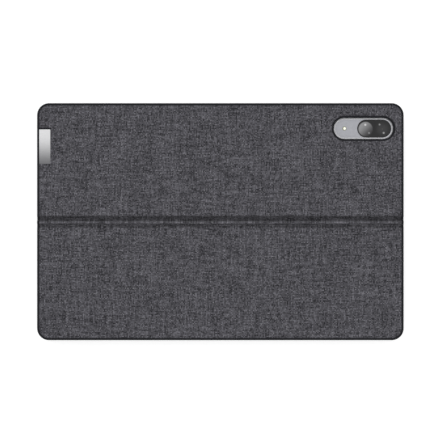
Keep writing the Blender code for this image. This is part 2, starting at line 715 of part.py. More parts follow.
def build_rod(parent):
    """The barrel along the whole fold, turned down where the knuckles hold it."""
    half = KNUCKLES * KNUCKLE_PITCH / 2 + LEAF_CLEARANCE
    end = HALF_WIDTH - ROD_END_GAP
    stations = [(-end, BARREL_RADIUS)]
    for centre in sorted(HINGE_CENTRES.values()):
        for x, radii in (
            (centre - half, (BARREL_RADIUS, ROD_RADIUS)),
            (centre + half, (ROD_RADIUS, BARREL_RADIUS)),
        ):
            stations += [(x, radius) for radius in radii]
    stations.append((end, BARREL_RADIUS))
    steps = 12
    bm = bmesh.new()
    rings = [
        [bm.verts.new((x * MM, dy * MM, dz * MM)) for dy, dz in circle((0, 0), radius, steps)]
        for x, radius in stations
    ]
    bm.faces.new(rings[0])
    bm.faces.new(rings[-1])
    for first, second in zip(rings, rings[1:]):
        bridge(bm, first, second)
    shade_smooth(add("hinge_rod", bm, (0, HINGE_Y, HINGE_Z), "edge_trim", parent))


def build_panel(half, outline, toward, parent):
    """The layers that both halves of the cover share: trim, lining, stiffener plate and fabric."""
    edge = UPPER_EDGE if toward > 0 else LOWER_EDGE
    trim_z = (COVER_BOTTOM, COVER_TOP)
    trim = prism(half + "_edge_trim", outline(), trim_z, "edge_trim", parent)
    soften(trim, EDGE_ROUNDING)
    hollow = outline(TRIM_WIDTH, edge - toward * 5)
    cut(trim, prism("cut_" + half + "_trim", hollow, (COVER_BOTTOM - 1, COVER_TOP + 1)))
    lining_z = (COVER_BOTTOM, COVER_BOTTOM + LINING_THICKNESS)
    lining = prism(half + "_lining", outline(INSET), lining_z, "lining", parent)
    plate = prism(half + "_plate", outline(INSET), (PLATE_BOTTOM, PLATE_TOP), "plate", parent)
    fabric_z = (COVER_TOP - FABRIC_THICKNESS, COVER_TOP)
    fabric = prism(half + "_fabric", outline(INSET), fabric_z, "fabric", parent)
    for side, centre in HINGE_CENTRES.items():
        reach = KNUCKLES * KNUCKLE_PITCH / 2 + LEAF_CLEARANCE
        y_range = sorted((edge - toward, HINGE_Y + toward * (LEAF_REACH + LEAF_CLEARANCE)))
        pocket = rectangle((centre - reach, centre + reach), y_range)
        pocket_z = (PLATE_BOTTOM - 1, LEAF_BOTTOM + LEAF_THICKNESS + FIT_GAP)
        cut(plate, prism(f"cut_{half}_leaf_{side}", pocket, pocket_z))
        build_leaf(side, toward, parent)
    return lining, plate, fabric


def add_magnet(name, plate, x_range, y_range, parent):
    """A flat magnet in a pocket on the lining side of a plate."""
    z_range = (PLATE_BOTTOM + FIT_GAP, PLATE_BOTTOM + FIT_GAP + MAGNET_THICKNESS)
    pocket = rectangle(
        (x_range[0] - FIT_GAP, x_range[1] + FIT_GAP),
        (y_range[0] - FIT_GAP, y_range[1] + FIT_GAP),
    )
    cut(plate, prism("cut_" + name, pocket, (PLATE_BOTTOM - 1, z_range[1] + FIT_GAP)))
    prism(name, rectangle(x_range, y_range), z_range, "steel", parent)


def build_back_cover(tablet):
    body = pivot("back_cover_pivot", (0, 0, COVER_BOTTOM), tablet)
    layers = build_panel("cover", upper_outline, 1, body)
    bezel_z = (COVER_BOTTOM + 0.1, COVER_TOP + BEZEL_LIP)
    bezel = pill(WINDOW_CENTRE, WINDOW_SIZE, BEZEL_WIDTH)
    ring = prism("camera_window_bezel", bezel, bezel_z, "edge_trim", body)
    cut(ring, prism("cut_bezel", pill(WINDOW_CENTRE, WINDOW_SIZE), (COVER_BOTTOM - 1, COVER_TOP + 2)))
    hole = pill(WINDOW_CENTRE, WINDOW_SIZE, BEZEL_WIDTH + FIT_GAP)
    window = prism("cut_camera_window", hole, (COVER_BOTTOM - 1, COVER_TOP + 1))
    for layer in layers:
        cut(layer, window)
    for side, (x_range, y_range) in COVER_MAGNETS.items():
        add_magnet("cover_magnet_" + side, layers[1], x_range, y_range, body)
    tag_z = (COVER_TOP + 0.1, COVER_TOP + 0.1 + TAG_THICKNESS)
    prism("blank_tag", rounded(TAG_X, TAG_Y, (0.4,) * 4, 2), tag_z, "tag_metal", body)
    build_rod(body)
    return body


def build_kickstand(back_cover):
    body = pivot("kickstand_pivot", (0, HINGE_Y, HINGE_Z), back_cover)
    layers = build_panel("kickstand", lower_outline, -1, body)
    add_magnet("kickstand_magnet", layers[1], *KICKSTAND_MAGNET, body)


def main():
    clear_scene()
    keyboard = build_keyboard()
    band = build_band(keyboard)
    dock = build_dock(band)
    tablet = build_tablet(dock)
    back_cover = build_back_cover(tablet)
    build_kickstand(back_cover)


main()
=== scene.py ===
"""The looks of a tablet keyboard case, closed round its tablet and lying on its keyboard.

Sizes are in millimetres and the mesh helpers turn them into metres. +Z is up. The camera window is
near +Y and +X, and someone who types sits at +Y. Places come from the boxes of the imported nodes.
"""

import functools
import math

import bmesh
import bpy
from mathutils import Matrix, Vector


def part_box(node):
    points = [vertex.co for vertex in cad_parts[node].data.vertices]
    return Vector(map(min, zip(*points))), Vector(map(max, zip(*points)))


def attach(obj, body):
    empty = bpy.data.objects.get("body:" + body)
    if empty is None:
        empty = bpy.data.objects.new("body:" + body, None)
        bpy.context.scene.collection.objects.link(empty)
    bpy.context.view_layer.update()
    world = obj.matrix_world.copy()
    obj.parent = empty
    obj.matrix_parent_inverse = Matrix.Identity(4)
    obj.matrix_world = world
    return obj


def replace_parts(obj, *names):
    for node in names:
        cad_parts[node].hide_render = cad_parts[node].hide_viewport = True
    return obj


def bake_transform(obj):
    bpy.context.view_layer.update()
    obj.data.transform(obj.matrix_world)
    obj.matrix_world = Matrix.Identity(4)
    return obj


MM = 0.001
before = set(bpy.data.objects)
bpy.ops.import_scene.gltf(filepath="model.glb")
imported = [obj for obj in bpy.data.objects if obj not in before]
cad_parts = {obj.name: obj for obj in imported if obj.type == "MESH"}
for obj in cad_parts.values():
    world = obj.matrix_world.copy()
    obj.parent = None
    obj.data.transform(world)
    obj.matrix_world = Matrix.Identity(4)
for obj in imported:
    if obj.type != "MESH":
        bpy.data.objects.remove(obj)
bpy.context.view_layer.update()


def span(node):
    """A node's lowest and highest corner in millimetres."""
    low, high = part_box(node)
    return Vector(low) / MM, Vector(high) / MM


# ======== sizes from the frame
COVER_LOW, COVER_HIGH = span("cover_edge_trim")
STAND_LOW, STAND_HIGH = span("kickstand_edge_trim")
BOARD_LOW, BOARD_HIGH = span("keyboard_edge_trim")
TABLET_LOW, TABLET_HIGH = span("tablet_shell")
BEZEL_LOW, BEZEL_HIGH = span("camera_window_bezel")
ISLAND_LOW, ISLAND_HIGH = span("camera_island")
GLASS_LOW, GLASS_HIGH = span("camera_glass")
FLASH_LOW, FLASH_HIGH = span("flash_lens")
TAG_LOW, TAG_HIGH = span("blank_tag")
ROD_LOW, ROD_HIGH = span("hinge_rod")
BAND_LOW, BAND_HIGH = span("hinge_band")
HALF_WIDTH = COVER_HIGH.x
HINGE_Y = (ROD_LOW.y + ROD_HIGH.y) / 2

# ======== sizes of the looks
CORNER_RADIUS = 8.7
TABLET_RADIUS = 8.0
CORNER_STEPS = 20
LEAST_RADIUS = 0.02  # what is left of a corner where an inset uses it up
TRIM_WIDTH = 1.3  # across its lower side
TRIM_LIP = 1.8  # how far its upper side reaches in, under the fabric's edge
TRIM_ROUNDING = 0.5  # of its outer edges
TRIM_INNER_ROUNDING = 0.2
TRIM_STEPS = 5
TRIM_SHOWN = 1.55  # how much of the binding stays clear of the fabric
INNER_INSET = 1.45  # from the case's outline to that of its lining
BEZEL_WIDTH = 0.9
BEZEL_GROW = 0.2  # its flange reaches this far beyond its frame
BEZEL_RISE = 0.1
BEZEL_ROUNDING = 0.25
FABRIC_RISE = 0.15  # the glued fabric's face above the binding
FABRIC_THICKNESS = 0.35
FABRIC_EDGE = ((0.0, -0.13), (0.04, -0.05), (0.16, 0.0), (0.9, 0.0))  # (inset, drop) of its turned edge
LINING_THICKNESS = 0.35
LINING_EDGE = ((0.0, 0.0), (0.02, 0.0))
FABRIC_TOP = COVER_HIGH.z + FABRIC_RISE
TAG_RADIUS = 0.4

# What shapes the fabric over the fold, as (centre, half width, height): groove, barrel, groove.
FOLD_FEATURES = ((-2.85, 1.3, -0.7), (-0.6, 0.85, 0.9), (2.15, 1.7, -1.0))
FOLD_POWER = 6  # how steep their sides are: 2 would be a bell curve
FOLD_RANGE = (-5.5, 5.1)  # from the kickstand's flat panel to the cover's
FOLD_ROW = 0.3
FOLD_COLUMN = 3.0
FOLD_END_ROWS = 30
BARREL_SHARE = 0.55  # how much of the barrel's height the binding has where it crosses the fold
RIPPLE = 0.1  # how uneven the fabric lies over the barrel
RIPPLE_REACH = 1.2  # how far to each side of the hinge
RIPPLE_WAVES = ((0.37, 0.0), (0.83, 1.0))  # (radians per mm, phase)
PAINTED_GROOVE_SHADE = 0.5  # painted shade: share of its colour that the fabric loses in a groove 1 mm deep
PAINTED_SHADE_SPREAD = 1.22  # how many times as wide as a groove its painted shade is
PAINTED_BARREL_HIGHLIGHT = 0.08  # painted highlight: share of its colour that the fabric gains on a barrel 1 mm high
HIGHLIGHT_PATCHES = 4.0  # how strongly the painted highlight follows the ripple, in patches
PAINTED_EDGE_SHADE = 0.3  # painted shade: share of its colour that it loses where its edges are turned down


# ======== outlines
def arc(x, y, radius, start, turn=math.pi / 2, steps=CORNER_STEPS):
    """Points round a centre, from the start angle through a turn."""
    angles = [start + turn * n / steps for n in range(steps + 1)]
    return [(x + radius * math.cos(angle), y + radius * math.sin(angle)) for angle in angles]


def rounded(x_range, y_range, radius, inset=0.0, steps=CORNER_STEPS):
    """The points of a rectangle with rounded corners, from its corner at the lowest x and y."""
    (x0, x1), (y0, y1) = x_range, y_range
    x0, x1, y0, y1 = x0 + inset, x1 - inset, y0 + inset, y1 - inset
    corners = ((x0, y0, 1, 1), (x1, y0, -1, 1), (x1, y1, -1, -1), (x0, y1, 1, -1))
    r = max(radius - inset, LEAST_RADIUS)
    points = []
    for index, (x, y, to_x, to_y) in enumerate(corners):
        points += arc(x + to_x * r, y + to_y * r, r, math.pi * (1 + index / 2), steps=steps)
    return points


def outline_of(low, high, radius, steps=CORNER_STEPS):
    """The outline of a box with rounded corners, for any inset."""
    return lambda inset: rounded((low.x, high.x), (low.y, high.y), radius, inset, steps)


def pill_of(low, high, grow=0.0):
    """The outline of a box with round ends, for any inset."""
    radius, middle = (high.y - low.y) / 2 + grow, (low.y + high.y) / 2
    right, left = high.x + grow - radius, low.x - grow + radius
    steps = 2 * CORNER_STEPS
    is_round = right - left < 0.01
    count = steps if is_round else steps + 1  # a round one's halves share their end points

    def outline(inset):
        points = []
        for centre, start in ((right, -math.pi / 2), (left, math.pi / 2)):
            points += arc(centre, middle, radius - inset, start, math.pi, steps)[:count]
        return points

    return outline


def hole_of(outline):
    """The same outline as a hole, which grows where the material recedes."""
    return lambda inset: outline(-inset)


def outline_inside(outline, distance):
    """The same outline with a distance added to each inset."""
    return lambda inset: outline(inset + distance)


def open_outline(toward, edge, inset):
    """Three sides of a cover panel, from its right end at the fold round to its left end.

    toward is the side of the fold that the panel lies on, 1 or -1, and edge is its side along it.
    """
    far = COVER_HIGH.y if toward > 0 else -STAND_LOW.y
    radius = CORNER_RADIUS - inset
    x, y = HALF_WIDTH - inset, far - inset
    points = [(x, edge)]
    for centre_x, start in ((x - radius, 0.0), (-x + radius, math.pi / 2)):
        points += [(px, toward * py) for px, py in arc(centre_x, y - radius, radius, start)]
    return points + [(-x, edge)]


# ======== meshes
def ring(bm, points, z):
    """Points of an outline at one height."""
    return [bm.verts.new((x * MM, y * MM, z * MM)) for x, y in points]


def bridge(bm, first, second, closed=True):
    """Faces between two rings, or between two open rows of points."""
    return [
        bm.faces.new((first[n - 1], first[n], second[n], second[n - 1]))
        for n in range(0 if closed else 1, len(first))
    ]


def bridge_all(bm, rings):
    """Faces between each ring and the next. Returns the last band of them."""
    return [bridge(bm, below, above) for below, above in zip(rings, rings[1:])][-1]


def edges_round(bm, verts):
    return [bm.edges.get((verts[n - 1], verts[n])) for n in range(len(verts))]


def store_places(mesh):
    """Keeps where each point lies at rest, so that the weave moves with a piece that bends."""
    places = mesh.attributes.new("rest_place", "FLOAT_VECTOR", "POINT")
    for vertex, item in zip(mesh.vertices, places.data):
        item.vector = vertex.co


def link(obj):
    bpy.context.scene.collection.objects.link(obj)


def piece(name, bm, material, body=None):
    """Links a mesh as one visible piece that rides on a body."""
    mesh = bpy.data.meshes.new(name)
    bm.to_mesh(mesh)
    bm.free()
    store_places(mesh)
    mesh.materials.append(material)
    for polygon in mesh.polygons:
        polygon.use_smooth = True
    obj = bpy.data.objects.new(name, mesh)
    link(obj)
    if body:
        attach(obj, body)
    return obj


def even_normals(obj):
    """Keeps large flat faces flat beside their rounded edges."""
    obj.modifiers.new("even normals", "WEIGHTED_NORMAL").keep_sharp = True
    return obj


def closed_piece(name, bm, material, body=None):
    bmesh.ops.recalc_face_normals(bm, faces=bm.faces)
    return even_normals(piece(name, bm, material, body))


def sharpen(bm, verts):
    """Keeps a flat cap's shading apart from the rounding beside it."""
    edges = edges_round(bm, verts)
    for edge in edges:
        edge.smooth = False
    return edges


def turned(name, loops, material, body=None, edge_look=None, placed=None):
    """A solid with flat caps. Each loop is an outline with its section as (inset, z) points.

    Further loops are holes in the first, or lie beside it. edge_look is a second material for the
    first loop's last band, such as a chamfer. placed is a matrix that moves the finished solid.
    """
    bm = bmesh.new()
    caps = ([], [])
    for index, (outline, section) in enumerate(loops):
        rings = [ring(bm, outline(inset), z) for inset, z in section]
        band = bridge_all(bm, rings)
        if edge_look and index == 0:
            for face in band:
                face.material_index = 1
        for cap, verts in zip(caps, (rings[0], rings[-1])):
            cap.extend(sharpen(bm, verts))
    for cap in caps:
        bmesh.ops.triangle_fill(bm, edges=cap, use_beauty=True)
    if placed:
        bmesh.ops.transform(bm, matrix=placed, verts=bm.verts)
    made = closed_piece(name, bm, material, body)
    if edge_look:
        made.data.materials.append(edge_look)
    return made


def slab_section(z_range, top, bottom=0.05, steps=4):
    """The section of a plate. top is its upper edge's radius and bottom its lower edge's bevel."""
    low, high = z_range
    return [(bottom, low), (0.0, low + bottom), *arc(top, high - top, top, math.pi, -math.pi / 2, steps)]


def binding_section(z_range):
    """The edge binding cut across: a flat strip with all four edges rounded."""
    low, high = z_range
    outer, inner = TRIM_ROUNDING, TRIM_INNER_ROUNDING
    corners = (
        (outer, high - outer, outer),
        (outer, low + outer, outer),
        (TRIM_WIDTH - inner, low + inner, inner),
        (TRIM_LIP - inner, high - inner, inner),
    )
    section = []
    for index, (inset, z, radius) in enumerate(corners):
        section += arc(inset, z, radius, math.pi / 2 * (1 + index), steps=TRIM_STEPS)
    return section


def binding(name, outline, z_range, closed, material, body):
    """A strip of edge binding swept along an outline."""
    bm = bmesh.new()
    runs = [ring(bm, outline(inset), z) for inset, z in binding_section(z_range)]
    for n in range(len(runs)):
        bridge(bm, runs[n - 1], runs[n], closed)
    if not closed:
        bm.faces.new([run[0] for run in runs])
        bm.faces.new([run[-1] for run in runs])
    return closed_piece(name, bm, material, body)


def through(knots, at):
    """A smooth curve through knots, level before the first and after the last."""
    if at <= knots[0][0]:
        return knots[0][1]
    if at >= knots[-1][0]:
        return knots[-1][1]
    n = next(i for i in range(1, len(knots)) if at <= knots[i][0])
    (x0, y0), (x1, y1) = knots[n - 1], knots[n]
    before, after = knots[max(n - 2, 0)], knots[min(n + 1, len(knots) - 1)]
    slope0 = (y1 - before[1]) / (x1 - before[0])
    slope1 = (after[1] - y0) / (after[0] - x0)
    t = (at - x0) / (x1 - x0)
    rise = (2 * t**3 - 3 * t**2 + 1) * y0 + (3 * t**2 - 2 * t**3) * y1
    return rise + (x1 - x0) * ((t**3 - 2 * t**2 + t) * slope0 + (t**3 - t**2) * slope1)


def unevenness(x):
    """How the cloth over the barrel strays from lying straight, between -1 and 1."""
    return sum(math.sin(x * rate + phase) for rate, phase in RIPPLE_WAVES) / len(RIPPLE_WAVES)


def fold_height(x, y, spread=1.0):
    """The fabric's height over the fold, above the flat panels. spread widens what shapes it."""
    height = sum(
        rise * math.exp(-(((y - centre) / (half * spread)) ** FOLD_POWER))
        for centre, half, rise in FOLD_FEATURES
    )
    near = math.exp(-(((y - HINGE_Y) / RIPPLE_REACH) ** 2))
    return height + RIPPLE * near * unevenness(x)


def painted_fold_shade(x, y):
    """How much darker the fabric is painted at the fold: shade in its grooves, a highlight on its barrel.
    """
    height = fold_height(x, y, PAINTED_SHADE_SPREAD)
    # painted highlight on the barrel, in patches that follow the ripple
    painted_highlight = PAINTED_BARREL_HIGHLIGHT * max(0.0, height) * (1 + HIGHLIGHT_PATCHES * unevenness(x))
    return PAINTED_GROOVE_SHADE * max(0.0, -height) - painted_highlight


def fold_rows():
    """Where the rows of points across the fold lie."""
    low, high = FOLD_RANGE
    count = round((high - low) / FOLD_ROW)
    return [low + (high - low) * n / count for n in range(count + 1)]


def slice_at(bm, faces, axis, value):
    """Cuts the faces along a plane at right angles to an axis."""
    geometry = set(faces)
    for face in faces:
        geometry.update(face.edges)
        geometry.update(face.verts)
    place, normal = Vector((0, 0, 0)), Vector((0, 0, 0))
    place[axis], normal[axis] = value * MM, 1.0
    bmesh.ops.bisect_plane(bm, geom=list(geometry), plane_co=place, plane_no=normal, dist=1e-7)


def turned_edge(bm, outline, edge, top, shade):
    """A sheet's edge, turned down and with painted shade. Returns the ring where the sheet is flat."""
    rings = [ring(bm, outline(inset), top + drop) for inset, drop in edge]
    # painted shade on every ring but the flat one
    for verts in rings[:-1]:
        for vertex in verts:
            vertex[shade] = PAINTED_EDGE_SHADE
    bridge_all(bm, rings)
    return rings[-1]


def cut_fold(bm):
    """Cuts a sheet into rows across the fold, and the strip that they fill into columns."""
    rows = fold_rows()
    for y in rows:
        slice_at(bm, list(bm.faces), 1, y)
    columns = round(2 * HALF_WIDTH / FOLD_COLUMN)
    for n in range(1, columns):
        strip = [f for f in bm.faces if rows[0] * MM < f.calc_center_median().y < rows[-1] * MM]
        slice_at(bm, strip, 0, -HALF_WIDTH + 2 * HALF_WIDTH * n / columns)


def cut_window(bm, hole, edge, top, shade):
    """Opens the camera's hole in the cover's flat panel."""
    beyond = [f for f in bm.faces if f.calc_center_median().y > FOLD_RANGE[1] * MM]
    panel = max(beyond, key=lambda f: f.calc_area())
    around = list(panel.edges)
    bmesh.ops.delete(bm, geom=[panel], context="FACES_ONLY")
    flat_ring = turned_edge(bm, hole, edge, top, shade)
    bmesh.ops.triangle_fill(bm, edges=around + edges_round(bm, flat_ring), use_beauty=True)


def cover_sheet(name, outline, edge, top, hole, lift, thickness, looks, slot):
    """One cloth over both cover panels, with the camera's hole, dense enough to bend at the fold."""
    bm = bmesh.new()
    # painted shade on the points, where a negative value is painted highlight
    shade = bm.verts.layers.float.new("painted_shade")
    bm.faces.new(turned_edge(bm, outline, edge, top, shade))
    cut_fold(bm)
    cut_window(bm, hole, edge, top, shade)
    # painted shade in the fold's grooves and painted highlight on its barrel, stored on the points
    for vertex in bm.verts:
        x, y = vertex.co.x / MM, vertex.co.y / MM
        vertex[shade] += painted_fold_shade(x, y)
        vertex.co.z += lift(x, y) * MM
    bmesh.ops.recalc_face_normals(bm, faces=bm.faces)
    widest = max(bm.faces, key=lambda f: f.calc_area())
    if widest.normal.z < 0:
        bmesh.ops.reverse_faces(bm, faces=bm.faces)
    sheet = piece(name, bm, looks[slot])
    solid = sheet.modifiers.new("cloth thickness", "SOLIDIFY")
    solid.thickness, solid.offset = thickness * MM, -1.0
    return even_normals(sheet)


def across_fold(obj):
    """Bakes into its mesh the place of a piece between the back cover and its kickstand, which lies toward
    -Y.
    """
    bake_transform(obj)


# ======== materials
BROAD_GRAIN = 40  # how many times as large as the fine grain the broad patches of a material are
YARN_PITCH = 0.95
YARN_WANDER, WANDER_LENGTH = 0.25, 9.0  # how far yarns stray from straight, and over what length
YARN_STEP = 7.31  # far enough apart in the noise that yarns are unlike each other
WEFT_START, STREAK_START = 9.0, 4.0  # other places in the noise, for the same reason
FLECK_RATE, STREAK_RATE = 0.45, 0.06  # how fast a yarn's tone changes along it, for each crossing
SLUB_SIZE, SLUB_STRETCH, SLUB_SHARE = 0.8, 3.0, 0.2
DARK_YARN, PALE_YARN, FLECK = (0.0165, 0.0161, 0.019), (0.186, 0.182, 0.205), (0.24, 0.24, 0.25)
LENS_RADIUS = 4.7
LENS_IN = (6.0, 6.1)  # from the glass's left end and its right end to the lenses
LENS_DROP = 0.35  # how far the lenses lie off the glass's middle line
SCREEN_FRAME = 6.5

# What each material is: its colour, roughness, grain size, bump depth and variation, and the rest.
METAL = {"metallic": 1.0}
BRUSHED = {"metallic": 1.0, "stretch": (25.0, 1.0, 1.0)}
PLAIN_LOOKS = {
    "edge_trim": ((0.015, 0.0155, 0.018), 0.7, 0.22, 0.012, 0.3, {"stored": True, "specular": 0.04}),
    "lining": ((0.04, 0.04, 0.044), 0.92, 0.25, 0.03, 0.25, {"stored": True, "specular": 0.1}),
    "keycap": ((0.018, 0.018, 0.02), 0.5, 0.1, 0.006, 0.1, {"stored": True, "specular": 0.3}),
    "deck": ((0.028, 0.028, 0.031), 0.6, 0.12, 0.012, 0.15, {"specular": 0.3}),
    "legend": ((0.55, 0.55, 0.56), 0.6, 0.1, 0.002, 0.03, {}),
    "plate": ((0.17, 0.17, 0.18), 0.5, 0.5, 0.01, 0.15, {}),
    "base_plate": ((0.32, 0.32, 0.33), 0.35, 0.08, 0.006, 0.12, BRUSHED),
    "hinge_steel": ((0.38, 0.38, 0.4), 0.32, 0.08, 0.006, 0.12, BRUSHED),
    "magnet": ((0.35, 0.34, 0.33), 0.25, 0.3, 0.003, 0.05, METAL),
    "rod": ((0.01, 0.01, 0.011), 0.4, 0.1, 0.004, 0.1, {}),
    "aluminium": ((0.36, 0.365, 0.392), 0.38, 0.06, 0.006, 0.06, {"metallic": 0.6}),
    "polished": ((0.6, 0.6, 0.62), 0.3, 0.06, 0.002, 0.03, {"metallic": 0.4}),
    "touchpad": ((0.03, 0.03, 0.033), 0.32, 0.08, 0.002, 0.06, {}),
    "rubber": ((0.25, 0.25, 0.25), 0.75, 0.4, 0.01, 0.08, {}),
    "switch": ((0.35, 0.35, 0.36), 0.35, 0.2, 0.004, 0.08, METAL),
    "gold": ((0.7, 0.45, 0.15), 0.25, 0.1, 0.002, 0.06, METAL),
}
# Printed tracks: the colour between them, their own colour, their pitch and the roughness.
STRIPED_LOOKS = {
    "film": ((0.42, 0.41, 0.36), (0.2, 0.2, 0.19), 2.4, 0.35),
    "board": ((0.012, 0.08, 0.03), (0.03, 0.16, 0.06), 1.1, 0.45),
    "ribbon": ((0.012, 0.012, 0.013), (0.035, 0.03, 0.024), 1.0, 0.45),
}
NODE_LOOKS = {
    "deck": ("key_deck", "dock_bar"),
    "rod": ("contact_housing", "hinge_rod"),
    "base_plate": ("keyboard_base_plate",),
    "film": ("switch_membrane",),
    "rubber": ("rubber_dome_sheet",),
    "board": ("controller_board",),
    "switch": ("touchpad_switch",),
    "ribbon": ("ribbon_cable",),
    "plate": ("cover_plate", "kickstand_plate"),
    "magnet": ("magnet",),
    "hinge_steel": ("hinge_leaf",),
    "gold": ("contact_pin_",),
}


class Surface:
    """A procedural material: a Principled shader and the nodes that feed it."""

    def __init__(self, name, roughness=0.5, metallic=0.0, specular=0.5, stored=False):
        self.material = bpy.data.materials.new(name)
        self.material.use_nodes = True
        self.tree = self.material.node_tree
        self.shader = self.tree.nodes["Principled BSDF"]
        self.set("Roughness", roughness)
        self.set("Metallic", metallic)
        self.set("Specular IOR Level", specular)
        if stored:
            source = self.node("ShaderNodeAttribute")
            source.attribute_name = "rest_place"
            self.place = source.outputs["Vector"]
        else:
            self.place = self.node("ShaderNodeTexCoord").outputs["Object"]
        scaled = self.node("ShaderNodeVectorMath", operation="SCALE")
        self.tree.links.new(self.place, scaled.inputs[0])
        scaled.inputs["Scale"].default_value = 1 / MM
        self.place = scaled.outputs[0]

    def node(self, kind, **settings):
        made = self.tree.nodes.new(kind)
        for name, value in settings.items():
            setattr(made, name, value)
        return made

    def set(self, name, value):
        self.shader.inputs[name].default_value = value

    def feed(self, socket, value):
        if isinstance(value, bpy.types.NodeSocket):
            self.tree.links.new(value, socket)
        else:
            socket.default_value = value

    def math(self, operation, *values):
        made = self.node("ShaderNodeMath", operation=operation)
        for socket, value in zip(made.inputs, values):
            self.feed(socket, value)
        return made.outputs[0]

    def axes(self):
        parts = self.node("ShaderNodeSeparateXYZ")
        self.tree.links.new(self.place, parts.inputs[0])
        return parts.outputs[0], parts.outputs[1], parts.outputs[2]

    def point(self, x, y, z=0.0):
        made = self.node("ShaderNodeCombineXYZ")
        for socket, value in zip(made.inputs, (x, y, z)):
            self.feed(socket, value)
        return made.outputs[0]

    def noise(self, at, detail=1.0):
        """Noise with features about 1 across."""
        made = self.node("ShaderNodeTexNoise")
        for name, value in (("Vector", at), ("Scale", 1.0), ("Detail", detail)):
            self.feed(made.inputs[name], value)
        return made.outputs[0]

    def grain(self, size, stretch=(1.0, 1.0, 1.0), detail=2.0):
        """Noise with features of about size millimetres, longer where stretch is above 1."""
        made = self.node("ShaderNodeVectorMath", operation="MULTIPLY")
        self.feed(made.inputs[0], self.place)
        self.feed(made.inputs[1], tuple(1 / (size * factor) for factor in stretch))
        return self.noise(made.outputs[0], detail)

    def ramp(self, value, start, end, low, high):
        """Goes smoothly from low, up to start, to high, from end on."""
        made = self.node("ShaderNodeMapRange", interpolation_type="SMOOTHSTEP")
        self.feed(made.inputs["Value"], value)
        for name, number in (("From Min", start), ("From Max", end), ("To Min", low), ("To Max", high)):
            made.inputs[name].default_value = number
        return made.outputs[0]

    def spread(self, value, low, high):
        """Noise sits near 0.5, so this maps its middle part to low..high."""
        return self.ramp(value, 0.3, 0.7, low, high)

    def ease(self, value, start, end):
        """0 up to start and 1 from end on, or the other way round when start is the larger."""
        if start > end:
            return self.ramp(value, end, start, 1.0, 0.0)
        return self.ramp(value, start, end, 0.0, 1.0)

    def mix(self, factor, first, second):
        made = self.node("ShaderNodeMix", data_type="RGBA")
        self.feed(made.inputs[0], factor)
        for socket, colour in ((made.inputs[6], first), (made.inputs[7], second)):
            self.feed(socket, colour if isinstance(colour, bpy.types.NodeSocket) else (*colour, 1.0))
        return made.outputs[2]

    def tint(self, colour, factor):
        """A colour times a number."""
        made = self.node("ShaderNodeVectorMath", operation="SCALE")
        self.feed(made.inputs[0], colour)
        self.feed(made.inputs["Scale"], factor)
        return made.outputs[0]

    def paint(self, colour):
        self.feed(self.shader.inputs["Base Color"], colour)

    def bump(self, height, depth):
        """Bumps of depth millimetres."""
        made = self.node("ShaderNodeBump")
        made.inputs["Distance"].default_value = depth * MM
        self.feed(made.inputs["Height"], height)
        self.tree.links.new(made.outputs[0], self.shader.inputs["Normal"])

    def near(self, x, y, radius, softness):
        """1 within radius of a point seen from above, fading to 0 over softness."""
        px, py, _ = self.axes()
        far = self.math("SQRT", self.math("ADD", self.square(px, x), self.square(py, y)))
        return self.ease(far, radius + softness, radius)

    def square(self, value, centre):
        away = self.math("SUBTRACT", value, centre)
        return self.math("MULTIPLY", away, away)


def plain(name, colour, roughness, grain, depth, vary, stretch=(1.0, 1.0, 1.0), **options):
    """Moulded, painted or rolled material: fine grain in its colour, roughness and surface."""
    made = Surface(name, roughness, **options)
    fine, broad = made.grain(grain, stretch), made.grain(grain * BROAD_GRAIN, stretch)
    fine_shade = made.spread(fine, 1 - vary, 1 + vary)
    broad_shade = made.spread(broad, 1 - vary / 3, 1 + vary / 3)
    made.paint(made.tint(colour, made.math("MULTIPLY", fine_shade, broad_shade)))
    low, high = max(roughness - vary * 0.3, 0.03), min(roughness + vary * 0.3, 1.0)
    made.feed(made.shader.inputs["Roughness"], made.spread(broad, low, high))
    made.bump(fine, depth)
    return made


def yarn_tone(made, strand, run, start):
    """A yarn's own tone, which changes fast along it and also in streaks many crossings long."""
    own = made.math("MULTIPLY", strand, YARN_STEP)
    flecks = made.noise(made.point(own, made.math("MULTIPLY", run, FLECK_RATE), start))
    streaks = made.noise(made.point(own, made.math("MULTIPLY", run, STREAK_RATE), start + STREAK_START))
    return made.math("MULTIPLY", made.math("ADD", flecks, streaks), 0.5)


def yarn_round(made, place):
    """How high the cloth stands between one crossing and the next: 0 at both and 1 midway."""
    return made.math("SINE", made.math("MULTIPLY", made.math("FRACT", place), math.pi))


